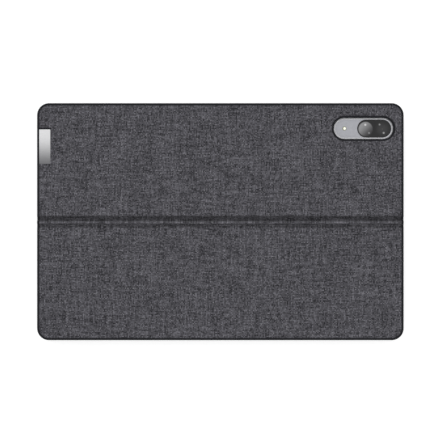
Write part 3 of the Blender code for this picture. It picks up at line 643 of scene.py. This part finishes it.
def melange():
    """Plain weave of dark grey melange yarn, with pale streaks, slubs and a few white flecks."""
    made = Surface("melange_fabric_look", roughness=0.9, specular=0.12, stored=True)
    made.set("Sheen Weight", 0.08)
    made.set("Sheen Roughness", 0.5)
    x, y, z = made.axes()
    wander = made.spread(made.grain(WANDER_LENGTH), -YARN_WANDER, YARN_WANDER)
    across = made.math("DIVIDE", made.math("ADD", x, wander), YARN_PITCH)
    along = made.math("DIVIDE", made.math("ADD", made.math("ADD", y, z), wander), YARN_PITCH)
    column, row = made.math("FLOOR", across), made.math("FLOOR", along)
    over = made.math("FLOORED_MODULO", made.math("ADD", column, row), 2.0)
    under = made.math("SUBTRACT", 1.0, over)
    warp, weft = yarn_tone(made, column, along, 0.0), yarn_tone(made, row, across, WEFT_START)
    yarn = made.math("ADD", made.math("MULTIPLY", over, warp), made.math("MULTIPLY", under, weft))
    slub_x = made.grain(SLUB_SIZE, (SLUB_STRETCH, 1.0, 1.0), 0.0)
    slub_y = made.grain(SLUB_SIZE, (1.0, SLUB_STRETCH, 1.0), 0.0)
    slub = made.math("MULTIPLY", made.math("MAXIMUM", slub_x, slub_y), SLUB_SHARE)
    tone = made.math("ADD", made.math("MULTIPLY", yarn, 1 - SLUB_SHARE), slub)
    colour = made.mix(made.ease(tone, 0.36, 0.78), DARK_YARN, PALE_YARN)
    colour = made.mix(made.ease(made.grain(0.75, detail=0.0), 0.74, 0.82), colour, FLECK)
    height = made.math("SQRT", made.math("MULTIPLY", yarn_round(made, across), yarn_round(made, along)))
    # painted shade where the cloth dips between yarn crossings
    painted_weave_shade = made.math("ADD", 0.7, made.math("MULTIPLY", height, 0.4))
    # the painted shade and painted highlight that a sheet's points carry
    painted_shade = made.node("ShaderNodeAttribute", attribute_name="painted_shade")
    shade = made.math("SUBTRACT", 1.0, painted_shade.outputs["Fac"])
    made.paint(made.tint(colour, made.math("MULTIPLY", painted_weave_shade, shade)))
    made.bump(height, 0.09)
    return made.material


def camera_glass_material():
    """Black cover glass over two lenses. A painted reflection makes the first paler than the second."""
    made = Surface("camera_glass_look", roughness=0.06, specular=0.35)
    made.set("Coat Weight", 0.25)
    lens_y = (GLASS_LOW.y + GLASS_HIGH.y) / 2 - LENS_DROP
    first = (GLASS_LOW.x + LENS_IN[0], lens_y)
    second = (GLASS_HIGH.x - LENS_IN[1], lens_y)
    x, y, _ = made.axes()
    # painted reflection: a diagonal fade from dark to pale grey, which only the first lens shows
    slant = made.math("SUBTRACT", made.math("SUBTRACT", y, first[1]), made.math("SUBTRACT", x, first[0]))
    painted_reflection = made.mix(made.ease(slant, -7.0, 6.0), (0.03, 0.029, 0.031), (0.24, 0.24, 0.245))
    colour = made.mix(made.near(*first, LENS_RADIUS, 0.9), (0.004, 0.004, 0.0045), painted_reflection)
    colour = made.mix(made.near(*second, 1.0, 5.4), colour, (0.026, 0.026, 0.027))
    painted_glints_and_mark = (  # painted glints, then the second lens's middle, as (x, y, radius, brightness)
        (first[0] - 0.2, first[1] + 3.1, 0.55, 0.62),
        (first[0] + 2.5, first[1] - 2.8, 0.5, 0.22),
        (second[0] - 2.2, second[1] + 3.3, 0.5, 0.22),
        (second[0] + 0.8, second[1] - 2.8, 0.55, 0.3),
        (second[0] - 0.2, second[1], 0.4, 0.05),
    )
    for dot_x, dot_y, radius, light in painted_glints_and_mark:
        colour = made.mix(made.near(dot_x, dot_y, radius * 0.4, radius * 1.6), colour, (light,) * 3)
    made.paint(colour)
    return made.material


def flash_material():
    """A clear lens over a warm white lamp, darker and yellower round its edge, with a painted highlight and
    glow in its middle.
    """
    made = Surface("flash_look", roughness=0.15)
    centre = (FLASH_LOW + FLASH_HIGH) / 2
    # painted highlight in the middle, which also glows a little: a painted glow
    painted_glow = made.near(centre.x + 0.15, centre.y, 0.45, 0.85)
    made.paint(made.mix(painted_glow, (0.3, 0.31, 0.16), (1.0, 1.0, 0.9)))
    made.feed(made.shader.inputs["Emission Color"], made.mix(painted_glow, (0.0, 0.0, 0.0), (1.0, 1.0, 0.88)))
    made.set("Emission Strength", 0.15)
    return made.material


def tag_material():
    """Brushed sheet with a painted reflection, from near-white at its upper end to mid grey at its lower
    end.
    """
    made = Surface("tag_look", roughness=0.42, metallic=0.2)
    _, y, _ = made.axes()
    brush = made.spread(made.grain(0.12, (30.0, 1.0, 1.0)), 0.93, 1.05)
    # painted reflection: paler toward the upper end
    light = made.ease(y, TAG_LOW.y - 2.0, TAG_HIGH.y - 3.0)
    made.paint(made.tint(made.mix(light, (0.112, 0.111, 0.118), (0.62, 0.62, 0.63)), brush))
    made.bump(brush, 0.01)
    return made.material


def screen_material():
    """Black glass: a switched-off display a little paler than its frame, and a front camera."""
    made = Surface("screen_glass_look", roughness=0.07)
    x, y, _ = made.axes()
    middle_y = (TABLET_LOW.y + TABLET_HIGH.y) / 2
    away_x = made.math("ABSOLUTE", x)
    away_y = made.math("ABSOLUTE", made.math("SUBTRACT", y, middle_y))
    reach_x, reach_y = TABLET_HIGH.x - SCREEN_FRAME, TABLET_HIGH.y - middle_y - SCREEN_FRAME
    inside_x = made.ease(away_x, reach_x + 0.1, reach_x)
    inside_y = made.ease(away_y, reach_y + 0.1, reach_y)
    inside = made.math("MULTIPLY", inside_x, inside_y)
    colour = made.mix(inside, (0.003, 0.003, 0.0035), (0.011, 0.011, 0.0125))
    camera_y = TABLET_HIGH.y - SCREEN_FRAME / 2
    colour = made.mix(made.near(0.0, camera_y, 1.2, 0.15), colour, (0.02, 0.022, 0.03))
    made.paint(made.mix(made.near(0.0, camera_y, 0.4, 0.3), colour, (0.002, 0.002, 0.004)))
    made.bump(made.grain(25.0), 0.0004)
    return made.material


def striped(name, between, track, pitch, roughness):
    """Printed tracks that run along Y."""
    made = Surface(name, roughness)
    along = made.math("FRACT", made.math("DIVIDE", made.axes()[0], pitch))
    made.paint(made.mix(made.ease(made.math("PINGPONG", along, 0.5), 0.2, 0.3), between, track))
    made.bump(along, 0.01)
    return made.material


def build_materials():
    """Every material by its look's name."""
    surfaces = {}
    for name, (*values, options) in PLAIN_LOOKS.items():
        surfaces[name] = plain(name + "_look", *values, **options)
    surfaces["lining"].set("Sheen Weight", 0.2)
    looks = {name: surface.material for name, surface in surfaces.items()}
    for name, values in STRIPED_LOOKS.items():
        looks[name] = striped(name + "_look", *values)
    looks["fabric"] = melange()
    looks["screen_glass"] = screen_material()
    looks["lens_glass"] = camera_glass_material()
    looks["flash"] = flash_material()
    looks["tag_metal"] = tag_material()
    return looks


def finish_nodes(looks):
    """Gives every node that stays its own procedural material."""
    for name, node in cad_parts.items():
        for look, parts_of_names in NODE_LOOKS.items():
            if any(part in name for part in parts_of_names):
                node.data.materials.clear()
                node.data.materials.append(looks[look])


# ======== back cover and kickstand
def build_back(looks):
    """The fabric, which runs over both panels and the fold between them, and its lining."""
    low, high = Vector((COVER_LOW.x, STAND_LOW.y, 0)), COVER_HIGH
    whole = outline_of(low, high, CORNER_RADIUS)
    hole = hole_of(pill_of(BEZEL_LOW, BEZEL_HIGH, BEZEL_GROW + 0.05))
    shown = outline_inside(whole, TRIM_SHOWN)
    shape = (shown, FABRIC_EDGE, FABRIC_TOP, hole, fold_height, FABRIC_THICKNESS)
    fabric = cover_sheet("back_fabric", *shape, looks, "fabric")
    across_fold(fabric)
    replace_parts(fabric, "cover_fabric", "kickstand_fabric")
    rows = fold_rows()
    over_fold = sum(
        math.hypot(after - before, fold_height(0, after) - fold_height(0, before))
        for before, after in zip(rows, rows[1:])
    )

    lining_top = COVER_LOW.z + LINING_THICKNESS + 0.02
    inner = outline_inside(whole, INNER_INSET)
    shape = (inner, LINING_EDGE, lining_top, hole, lambda x, y: 0.0, LINING_THICKNESS)
    lining = cover_sheet("inner_lining", *shape, looks, "lining")
    across_fold(lining)  # it lies clear of the tablet
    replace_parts(lining, "cover_lining", "kickstand_lining")


def fold_end(side, looks):
    """The binding carried across the fold at one side of the case."""
    bm = bmesh.new()
    overlap = 0.05  # with the bindings at both its ends
    bottom, outer, inner = COVER_LOW.z + 0.05, HALF_WIDTH, HALF_WIDTH - TRIM_LIP
    start, reach = STAND_HIGH.y - overlap, COVER_LOW.y - STAND_HIGH.y + 2 * overlap
    rings = []
    for n in range(FOLD_END_ROWS + 1):
        y = start + reach * n / FOLD_END_ROWS
        height = fold_height(0, y)
        top = COVER_HIGH.z + min(0.0, height) + BARREL_SHARE * max(0.0, height)
        shape = [(inner, bottom), (outer - 0.2, bottom), (outer, bottom + 0.2)]
        shape += arc(outer - TRIM_ROUNDING, top - TRIM_ROUNDING, TRIM_ROUNDING, 0.0, steps=4)
        shape.append((inner, top))
        rings.append([bm.verts.new((side * x * MM, y * MM, z * MM)) for x, z in shape])
    bridge_all(bm, rings)
    bm.faces.new(rings[0])
    bm.faces.new(rings[-1])
    name = "fold_end_right" if side > 0 else "fold_end_left"
    across_fold(closed_piece(name, bm, looks["edge_trim"]))


def build_cover_edges(looks):
    """The binding round the back cover, round the kickstand, and across the fold between them."""
    panels = (
        ("cover", "back_cover", 1, COVER_LOW.y, (COVER_LOW.z, COVER_HIGH.z)),
        ("kickstand", "kickstand", -1, STAND_HIGH.y, (STAND_LOW.z, STAND_HIGH.z)),
    )
    for panel, body, toward, edge, z_range in panels:
        outline = functools.partial(open_outline, toward, edge)
        strip = binding(panel + "_binding", outline, z_range, False, looks["edge_trim"], body)
        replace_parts(strip, panel + "_edge_trim")
    for side in (-1, 1):
        fold_end(side, looks)


def build_window(looks):
    """The bezel, and the tablet's camera island in it."""
    outer = pill_of(BEZEL_LOW, BEZEL_HIGH, BEZEL_GROW)
    opening = hole_of(pill_of(BEZEL_LOW, BEZEL_HIGH, -BEZEL_WIDTH))
    section = slab_section((BEZEL_LOW.z, BEZEL_HIGH.z + BEZEL_RISE), BEZEL_ROUNDING)
    loops = [(outer, section), (opening, section)]
    bezel = turned("window_bezel", loops, looks["edge_trim"], "back_cover")
    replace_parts(bezel, "camera_window_bezel")

    top = ISLAND_HIGH.z
    chamfer = ((0.0, ISLAND_LOW.z), (0.0, top - 0.14), (0.04, top - 0.1), (0.95, top))
    seat = ((0.0, ISLAND_LOW.z), (0.0, top - 0.05), (0.04, top))
    loops = [
        (pill_of(ISLAND_LOW, ISLAND_HIGH), chamfer),
        (hole_of(pill_of(GLASS_LOW, GLASS_HIGH, 0.1)), seat),
        (hole_of(pill_of(FLASH_LOW, FLASH_HIGH, 0.08)), seat),
    ]
    island = turned("island_plate", loops, looks["aluminium"], "tablet", looks["polished"])
    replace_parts(island, "camera_island")

    panes = (
        ("camera_cover_glass", "camera_glass", "lens_glass", GLASS_LOW, GLASS_HIGH, 0.1),
        ("flash_window", "flash_lens", "flash", FLASH_LOW, FLASH_HIGH, 0.2),
    )
    for name, node, look, low, high, edge in panes:
        loops = [(pill_of(low, high), slab_section((low.z, high.z), edge))]
        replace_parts(turned(name, loops, looks[look], "tablet"), node)


def build_tag(looks):
    """A plain tag at the case's edge, over a thin dark slab that shows round its upper part: a painted
    shadow.
    """
    section = slab_section((TAG_LOW.z - 0.1, TAG_HIGH.z), 0.12)
    loops = [(outline_of(TAG_LOW, TAG_HIGH, TAG_RADIUS, 4), section)]
    tag = turned("plain_tag", loops, looks["tag_metal"], "back_cover")
    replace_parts(tag, "blank_tag")
    # painted shadow: a dark slab that shows above the tag and beside its upper part
    shadow_low = Vector((TAG_LOW.x - 0.1, TAG_HIGH.y - 0.45 * (TAG_HIGH.y - TAG_LOW.y), 0))
    shadow_high = TAG_HIGH + Vector((0.5, 1.3, 0))
    section = slab_section((FABRIC_TOP - 0.2, FABRIC_TOP + 0.03), 0.03)
    loops = [(outline_of(shadow_low, shadow_high, TAG_RADIUS, 4), section)]
    turned("tag_painted_shadow", loops, looks["edge_trim"], "back_cover")


# ======== tablet
TABLET_WALL, TABLET_BACK = 2.0, 1.0
SCREEN_SEAT = (0.9, 1.2)  # the step that the screen lies in, as (inset, height)
SCREEN_INSET = 1.1
FRONT_ROUNDING, BACK_ROUNDING = 0.5, 0.8
SIDE_KEY_PROUD, SLOT_PROUD = 0.3, 0.02
SPEAKER_SLOTS, SLOT_PITCH = 8, 3.2


def build_tablet(looks):
    """A plain aluminium tray, closed by its screen, which faces down."""
    front, back = TABLET_LOW.z, TABLET_HIGH.z
    seat_inset, seat_height = SCREEN_SEAT
    section = [
        (TABLET_WALL, back - TABLET_BACK),
        (TABLET_WALL, front + seat_height),
        (seat_inset, front + seat_height),
        (seat_inset, front + 0.1),
        (0.55, front),
    ]
    quarter = -math.pi / 2
    section += arc(FRONT_ROUNDING, front + FRONT_ROUNDING, FRONT_ROUNDING, quarter, quarter, 4)
    section += arc(BACK_ROUNDING, back - BACK_ROUNDING, BACK_ROUNDING, math.pi, quarter, 6)
    loops = [(outline_of(TABLET_LOW, TABLET_HIGH, TABLET_RADIUS), section)]
    body = turned("tablet_body", loops, looks["aluminium"], "tablet")
    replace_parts(body, "tablet_shell")
    glass_low, glass_high = span("tablet_screen")
    section = [(0.0, glass_high.z), (0.0, front + 0.2), (0.12, front + 0.04), (0.3, front)]
    loops = [(outline_of(glass_low, glass_high, TABLET_RADIUS - SCREEN_INSET), section)]
    screen = turned("screen_glass", loops, looks["screen_glass"], "tablet")
    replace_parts(screen, "tablet_screen")


def on_side(side, places, size, stand, name, material, slot):
    """Rounded keys or slots on a side of the tablet, which stand a little proud of it.

    side is "x" or "-x" for a short side and "y" for the long one away from the dock. places are
    along the side, size is (length, height) and stand is how far they stand out.
    """
    face, outward = {
        "x": (TABLET_HIGH.x, Vector((1, 0, 0))),
        "-x": (-TABLET_LOW.x, Vector((-1, 0, 0))),
        "y": (TABLET_HIGH.y, Vector((0, 1, 0))),
    }[side]
    up = Vector((0, 0, 1))
    basis = Matrix((up.cross(outward), up, outward)).transposed().to_4x4()
    basis.translation = Vector((0, 0, (TABLET_LOW.z + TABLET_HIGH.z) / 2 * MM))
    along = 1 if side == "x" else -1
    half = Vector((size[0] / 2, size[1] / 2, 0))
    section = slab_section((face - 0.3, face + stand), min(0.15, size[1] / 4), 0.02, 3)
    loops = []
    for place in places:
        centre = Vector((along * place, 0, 0))
        loops.append((pill_of(centre - half, centre + half), section))
    return turned(name, loops, material, "tablet", placed=basis)


def build_tablet_sides(looks):
    """The power and volume keys, the charging port and four rows of speaker slots."""
    # The port and the speaker slots are dark pills on the metal, not openings: their dark colour is painted
    # shade.
    metal, dark = (looks["aluminium"], "aluminium"), (looks["rod"], "edge_trim")
    on_side("x", (62.0,), (12.5, 1.7), SIDE_KEY_PROUD, "power_key", *metal)
    on_side("y", (92.0,), (23.0, 1.7), SIDE_KEY_PROUD, "volume_key", *metal)
    on_side("-x", (0.0,), (8.6, 2.6), SLOT_PROUD, "charging_port", *dark)
    slots = [(n - (SPEAKER_SLOTS - 1) / 2) * SLOT_PITCH for n in range(SPEAKER_SLOTS)]
    for side, hand in (("x", "right"), ("-x", "left")):
        for end, middle in (("rear", 36.0), ("front", -52.0)):
            places = [middle + slot for slot in slots]
            on_side(side, places, (2.1, 0.9), SLOT_PROUD, f"speaker_{hand}_{end}", *dark)


# ======== keyboard
# Half of a cap cut across, as (inset, rise above its foot): its skirt, and the dish in its top.
KEY_SECTION = ((0.0, 0.0), (0.0, 0.8), (0.28, 1.44), (0.4, 1.56), (0.62, 1.6), (1.1, 1.56))
KEY_DISH = ((1.9, 1.49), (2.6, 1.46))
KEY_HEIGHT = 1.6
KEY_WALL, KEY_ROOF = 1.1, 0.5
KEY_RADIUS = 1.6
KEY_TAPER = 0.5  # how much smaller a CAD cap's top is than its foot, at each side
FULL_DISH_DEPTH = 12.0  # caps that are less deep than this from front to back have a smaller dish
LETTER_SIZE, WORD_SIZE = 4.2, 2.7
LETTER_SHARE = 0.32  # of a cap's depth, at most
LEGEND_HALF = 0.008  # half of its printed thickness
LEGEND_LIFT = 0.012
PAD_FLANGE = 1.0  # how far the touchpad's hidden flange goes past its window
PAD_THICKNESS = 1.0
LEGENDS = {
    "function_keys": ["esc"] + [f"F{n}" for n in range(1, 13)] + ["del"],
    "number_keys": list("`1234567890-="),
    "backspace_key": ["back"],
    "top_letter_keys": ["tab", *"QWERTYUIOP[]\\"],
    "home_letter_keys": ["caps", *"ASDFGHJKL;'"],
    "enter_key": ["enter"],
    "left_shift_key": ["shift"],
    "bottom_letter_keys": list("ZXCVBNM,./"),
    "right_shift_key": ["shift"],
    "left_modifier_keys": ["ctrl", "fn", "menu", "alt"],
    "space_bar": [""],
    "right_modifier_keys": ["alt", "ctrl"],
    "arrow_left_key": ["<"],
    "arrow_up_key": ["^"],
    "arrow_down_key": ["v"],
    "arrow_right_key": [">"],
}


def cap_boxes(node):
    """The feet of a node's caps, from +X to -X, and their top. Caps of one node stand in one row."""
    height = span(node)[1].z
    top = [v.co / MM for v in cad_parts[node].data.vertices if v.co.z / MM > height - 0.01]
    edges = sorted({round(p.x, 2) for p in top})
    y_range = (min(p.y for p in top) - KEY_TAPER, max(p.y for p in top) + KEY_TAPER)
    pairs = [(edges[n] - KEY_TAPER, edges[n + 1] + KEY_TAPER) for n in range(0, len(edges), 2)]
    return [(pair, y_range) for pair in reversed(pairs)], height


def add_cap(bm, x_range, y_range, top):
    """One hollow cap with a shallow dish in its top. Returns the height of the dish."""
    size = min(1.0, (y_range[1] - y_range[0]) / FULL_DISH_DEPTH)
    foot, rim = top - KEY_HEIGHT, KEY_SECTION[-1][0]
    hollow = [(KEY_WALL, top - KEY_ROOF), (KEY_WALL - 0.15, foot)]
    skirt = [(inset, foot + rise) for inset, rise in KEY_SECTION]
    dish = [(rim + (inset - rim) * size, foot + rise) for inset, rise in KEY_DISH]
    section = hollow + skirt + dish
    rings = [ring(bm, rounded(x_range, y_range, KEY_RADIUS, inset, 4), z) for inset, z in section]
    bridge_all(bm, rings)
    bm.faces.new(rings[0])
    bm.faces.new(rings[-1])
    return dish[-1][1]


def legend_mesh(text, size, place):
    """A legend's letters as thin geometry, turned to face someone at +Y."""
    curve = bpy.data.curves.new("legend", "FONT")
    curve.body, curve.size, curve.extrude, curve.resolution_u = text, size * MM, LEGEND_HALF * MM, 3
    curve.align_x, curve.align_y = "CENTER", "CENTER"
    holder = bpy.data.objects.new("legend", curve)
    mesh = bpy.data.meshes.new_from_object(holder)
    bpy.data.objects.remove(holder)
    bpy.data.curves.remove(curve)
    mesh.transform(Matrix.Translation(Vector(place) * MM) @ Matrix.Rotation(math.pi, 4, "Z"))
    return mesh


def build_keys(looks):
    """Each node's caps as one piece, and their legends as another."""
    for node, legends in LEGENDS.items():
        boxes, top = cap_boxes(node)
        caps, letters = bmesh.new(), bmesh.new()
        for (x_range, y_range), text in zip(boxes, legends):
            face = add_cap(caps, x_range, y_range, top)
            if text:
                size = LETTER_SIZE if len(text) == 1 else WORD_SIZE
                size = min(size, (y_range[1] - y_range[0]) * LETTER_SHARE)
                place = (sum(x_range) / 2, sum(y_range) / 2, face + LEGEND_LIFT)
                mesh = legend_mesh(text, size, place)
                letters.from_mesh(mesh)
                bpy.data.meshes.remove(mesh)
        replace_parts(closed_piece(node + "_caps", caps, looks["keycap"], node), node)
        if letters.faces:
            piece(node + "_legends", letters, looks["legend"], node)
        else:
            letters.free()


def build_keyboard(looks):
    """The keyboard's binding, the cloth under it, its keys and its touchpad."""
    outline, z_range = outline_of(BOARD_LOW, BOARD_HIGH, CORNER_RADIUS), (BOARD_LOW.z, BOARD_HIGH.z)
    strip = binding("keyboard_binding", outline, z_range, True, looks["edge_trim"], "keyboard")
    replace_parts(strip, "keyboard_edge_trim")
    low, high = span("keyboard_fabric")
    section = [(0.3, low.z), (0.08, low.z + 0.08), (0.0, low.z + 0.2), (0.0, high.z)]
    inner = outline_of(low, high, CORNER_RADIUS - INNER_INSET)
    under = turned("underside_fabric", [(inner, section)], looks["fabric"], "keyboard")
    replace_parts(under, "keyboard_fabric")
    build_keys(looks)
    build_touchpad(looks)


def build_touchpad(looks):
    """The pad's plate, a little inside the window that its hidden flange is wider than."""
    flange_low, flange_high = span("touchpad")
    edge = Vector((PAD_FLANGE, PAD_FLANGE, 0.0))
    outline = outline_of(flange_low + edge, flange_high - edge, 2.2, 8)
    section = slab_section((flange_high.z - PAD_THICKNESS, flange_high.z), 0.18)
    pad = turned("touchpad_plate", [(outline, section)], looks["touchpad"], "touchpad")
    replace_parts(pad, "touchpad")


# ======== band
BAND_THICKNESS = 0.5
BAND_STEPS = 40
TOP_FOLD_RISE = 0.75


def strip_along(name, path, half_length, thickness, looks):
    """Cloth of one thickness that follows a (y, z) path, the same all along X."""
    bm = bmesh.new()
    sides = ([], [])
    for n, (y, z) in enumerate(path):
        before, after = path[max(n - 1, 0)], path[min(n + 1, len(path) - 1)]
        run = Vector((after[0] - before[0], after[1] - before[1])).normalized()
        for side, sign in zip(sides, (1, -1)):
            side.append((y - sign * run.y * thickness / 2, z + sign * run.x * thickness / 2))
    loop = sides[0] + sides[1][::-1]
    rings = [[bm.verts.new((x * MM, y * MM, z * MM)) for y, z in loop] for x in (-half_length, half_length)]
    bridge(bm, *rings)
    for verts in rings:
        bmesh.ops.triangle_fill(bm, edges=edges_round(bm, verts), use_beauty=True)
    return closed_piece(name, bm, looks["fabric"])


def build_band(looks):
    """The cloth from the keyboard's rear edge up to the dock bar, which folds at both ends."""
    middle = (BAND_LOW.y + BAND_HIGH.y) / 2
    foot, head = BAND_LOW.z + 0.35, BAND_HIGH.z - 0.35
    rear, top = BOARD_LOW.y - 0.25, head - 0.5
    halfway = (rear + middle) / 2
    knots = ((0.35, rear), (1.2, rear - 0.02), (1.9, halfway), (foot + 0.2, middle), (top, middle))
    height = top - knots[0][0]
    levels = [knots[0][0] + height * n / BAND_STEPS for n in range(BAND_STEPS + 1)]
    path = [(through(knots, z), z) for z in levels]
    band = strip_along("band_fabric", path, BAND_HIGH.x, BAND_THICKNESS, looks)
    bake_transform(band)
    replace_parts(band, "hinge_band")

    dock_low, dock_high = span("dock_bar")
    reach = dock_low.y - 0.05 - middle
    turn = [math.pi / 2 * n / 8 for n in range(9)]
    path = [(middle + reach * (1 - math.cos(a)), top + TOP_FOLD_RISE * math.sin(a)) for a in turn]
    fold = strip_along("band_top_fold", path, dock_high.x, BAND_THICKNESS * 0.8, looks)
    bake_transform(fold)


# ======== stage, in metres
CAMERA_DISTANCE = 1.1966  # from the fabric's face
CAMERA_OFFSET = (-0.00028, 0.00122)
CAMERA_LENS, CAMERA_SENSOR = 135, 36
FLOOR_SIZE = 6.0
FLOOR_DROP = 0.00005  # below the case, so that their faces don't coincide
FLOOR_GREY, FLOOR_GLOW = 0.55, 0.62
WORLD_LIGHT = 0.85
LAMPS = (  # (name, place, size, watts)
    ("key", (-0.5, 0.75, 1.3), 0.9, 6.0),
    ("fill", (0.8, -0.3, 1.2), 1.0, 2.5),
)


def build_stage():
    """A pale floor that is lit enough to stay white beside the case."""
    mesh = bpy.data.meshes.new("floor")
    half = FLOOR_SIZE / 2
    corners = [(-half, -half, 0), (half, -half, 0), (half, half, 0), (-half, half, 0)]
    mesh.from_pydata(corners, [], [(0, 1, 2, 3)])
    floor = bpy.data.objects.new("floor", mesh)
    floor.location.z = -FLOOR_DROP
    link(floor)
    look = Surface("floor_look", roughness=0.9, specular=0.1)
    look.set("Base Color", (FLOOR_GREY, FLOOR_GREY, FLOOR_GREY, 1))
    look.set("Emission Color", (1, 1, 1, 1))
    look.set("Emission Strength", FLOOR_GLOW)
    mesh.materials.append(look.material)


def build_lights():
    """Even light from all round, and two soft lamps that shape the fold."""
    world = bpy.data.worlds.new("studio")
    bpy.context.scene.world = world
    world.use_nodes = True
    background = world.node_tree.nodes["Background"]
    background.inputs["Color"].default_value = (1, 1, 1, 1)
    background.inputs["Strength"].default_value = WORLD_LIGHT
    for name, place, size, power in LAMPS:
        data = bpy.data.lights.new(name, "AREA")
        data.size, data.energy = size, power
        lamp = bpy.data.objects.new(name, data)
        link(lamp)
        lamp.location = place
        lamp.rotation_euler = (-Vector(place)).to_track_quat("-Z", "Y").to_euler()


def build_camera():
    """Straight above the case, with a long lens."""
    data = bpy.data.cameras.new("camera")
    data.lens, data.sensor_width = CAMERA_LENS, CAMERA_SENSOR
    camera = bpy.data.objects.new("camera", data)
    camera.location = (*CAMERA_OFFSET, FABRIC_TOP * MM + CAMERA_DISTANCE)
    link(camera)
    bpy.context.scene.camera = camera
    bpy.context.scene.view_settings.view_transform = "Standard"


def main():
    looks = build_materials()
    build_camera()
    build_back(looks)
    build_cover_edges(looks)
    build_window(looks)
    build_tag(looks)
    build_tablet(looks)
    build_tablet_sides(looks)
    build_keyboard(looks)
    build_band(looks)
    finish_nodes(looks)
    build_stage()
    build_lights()


main()
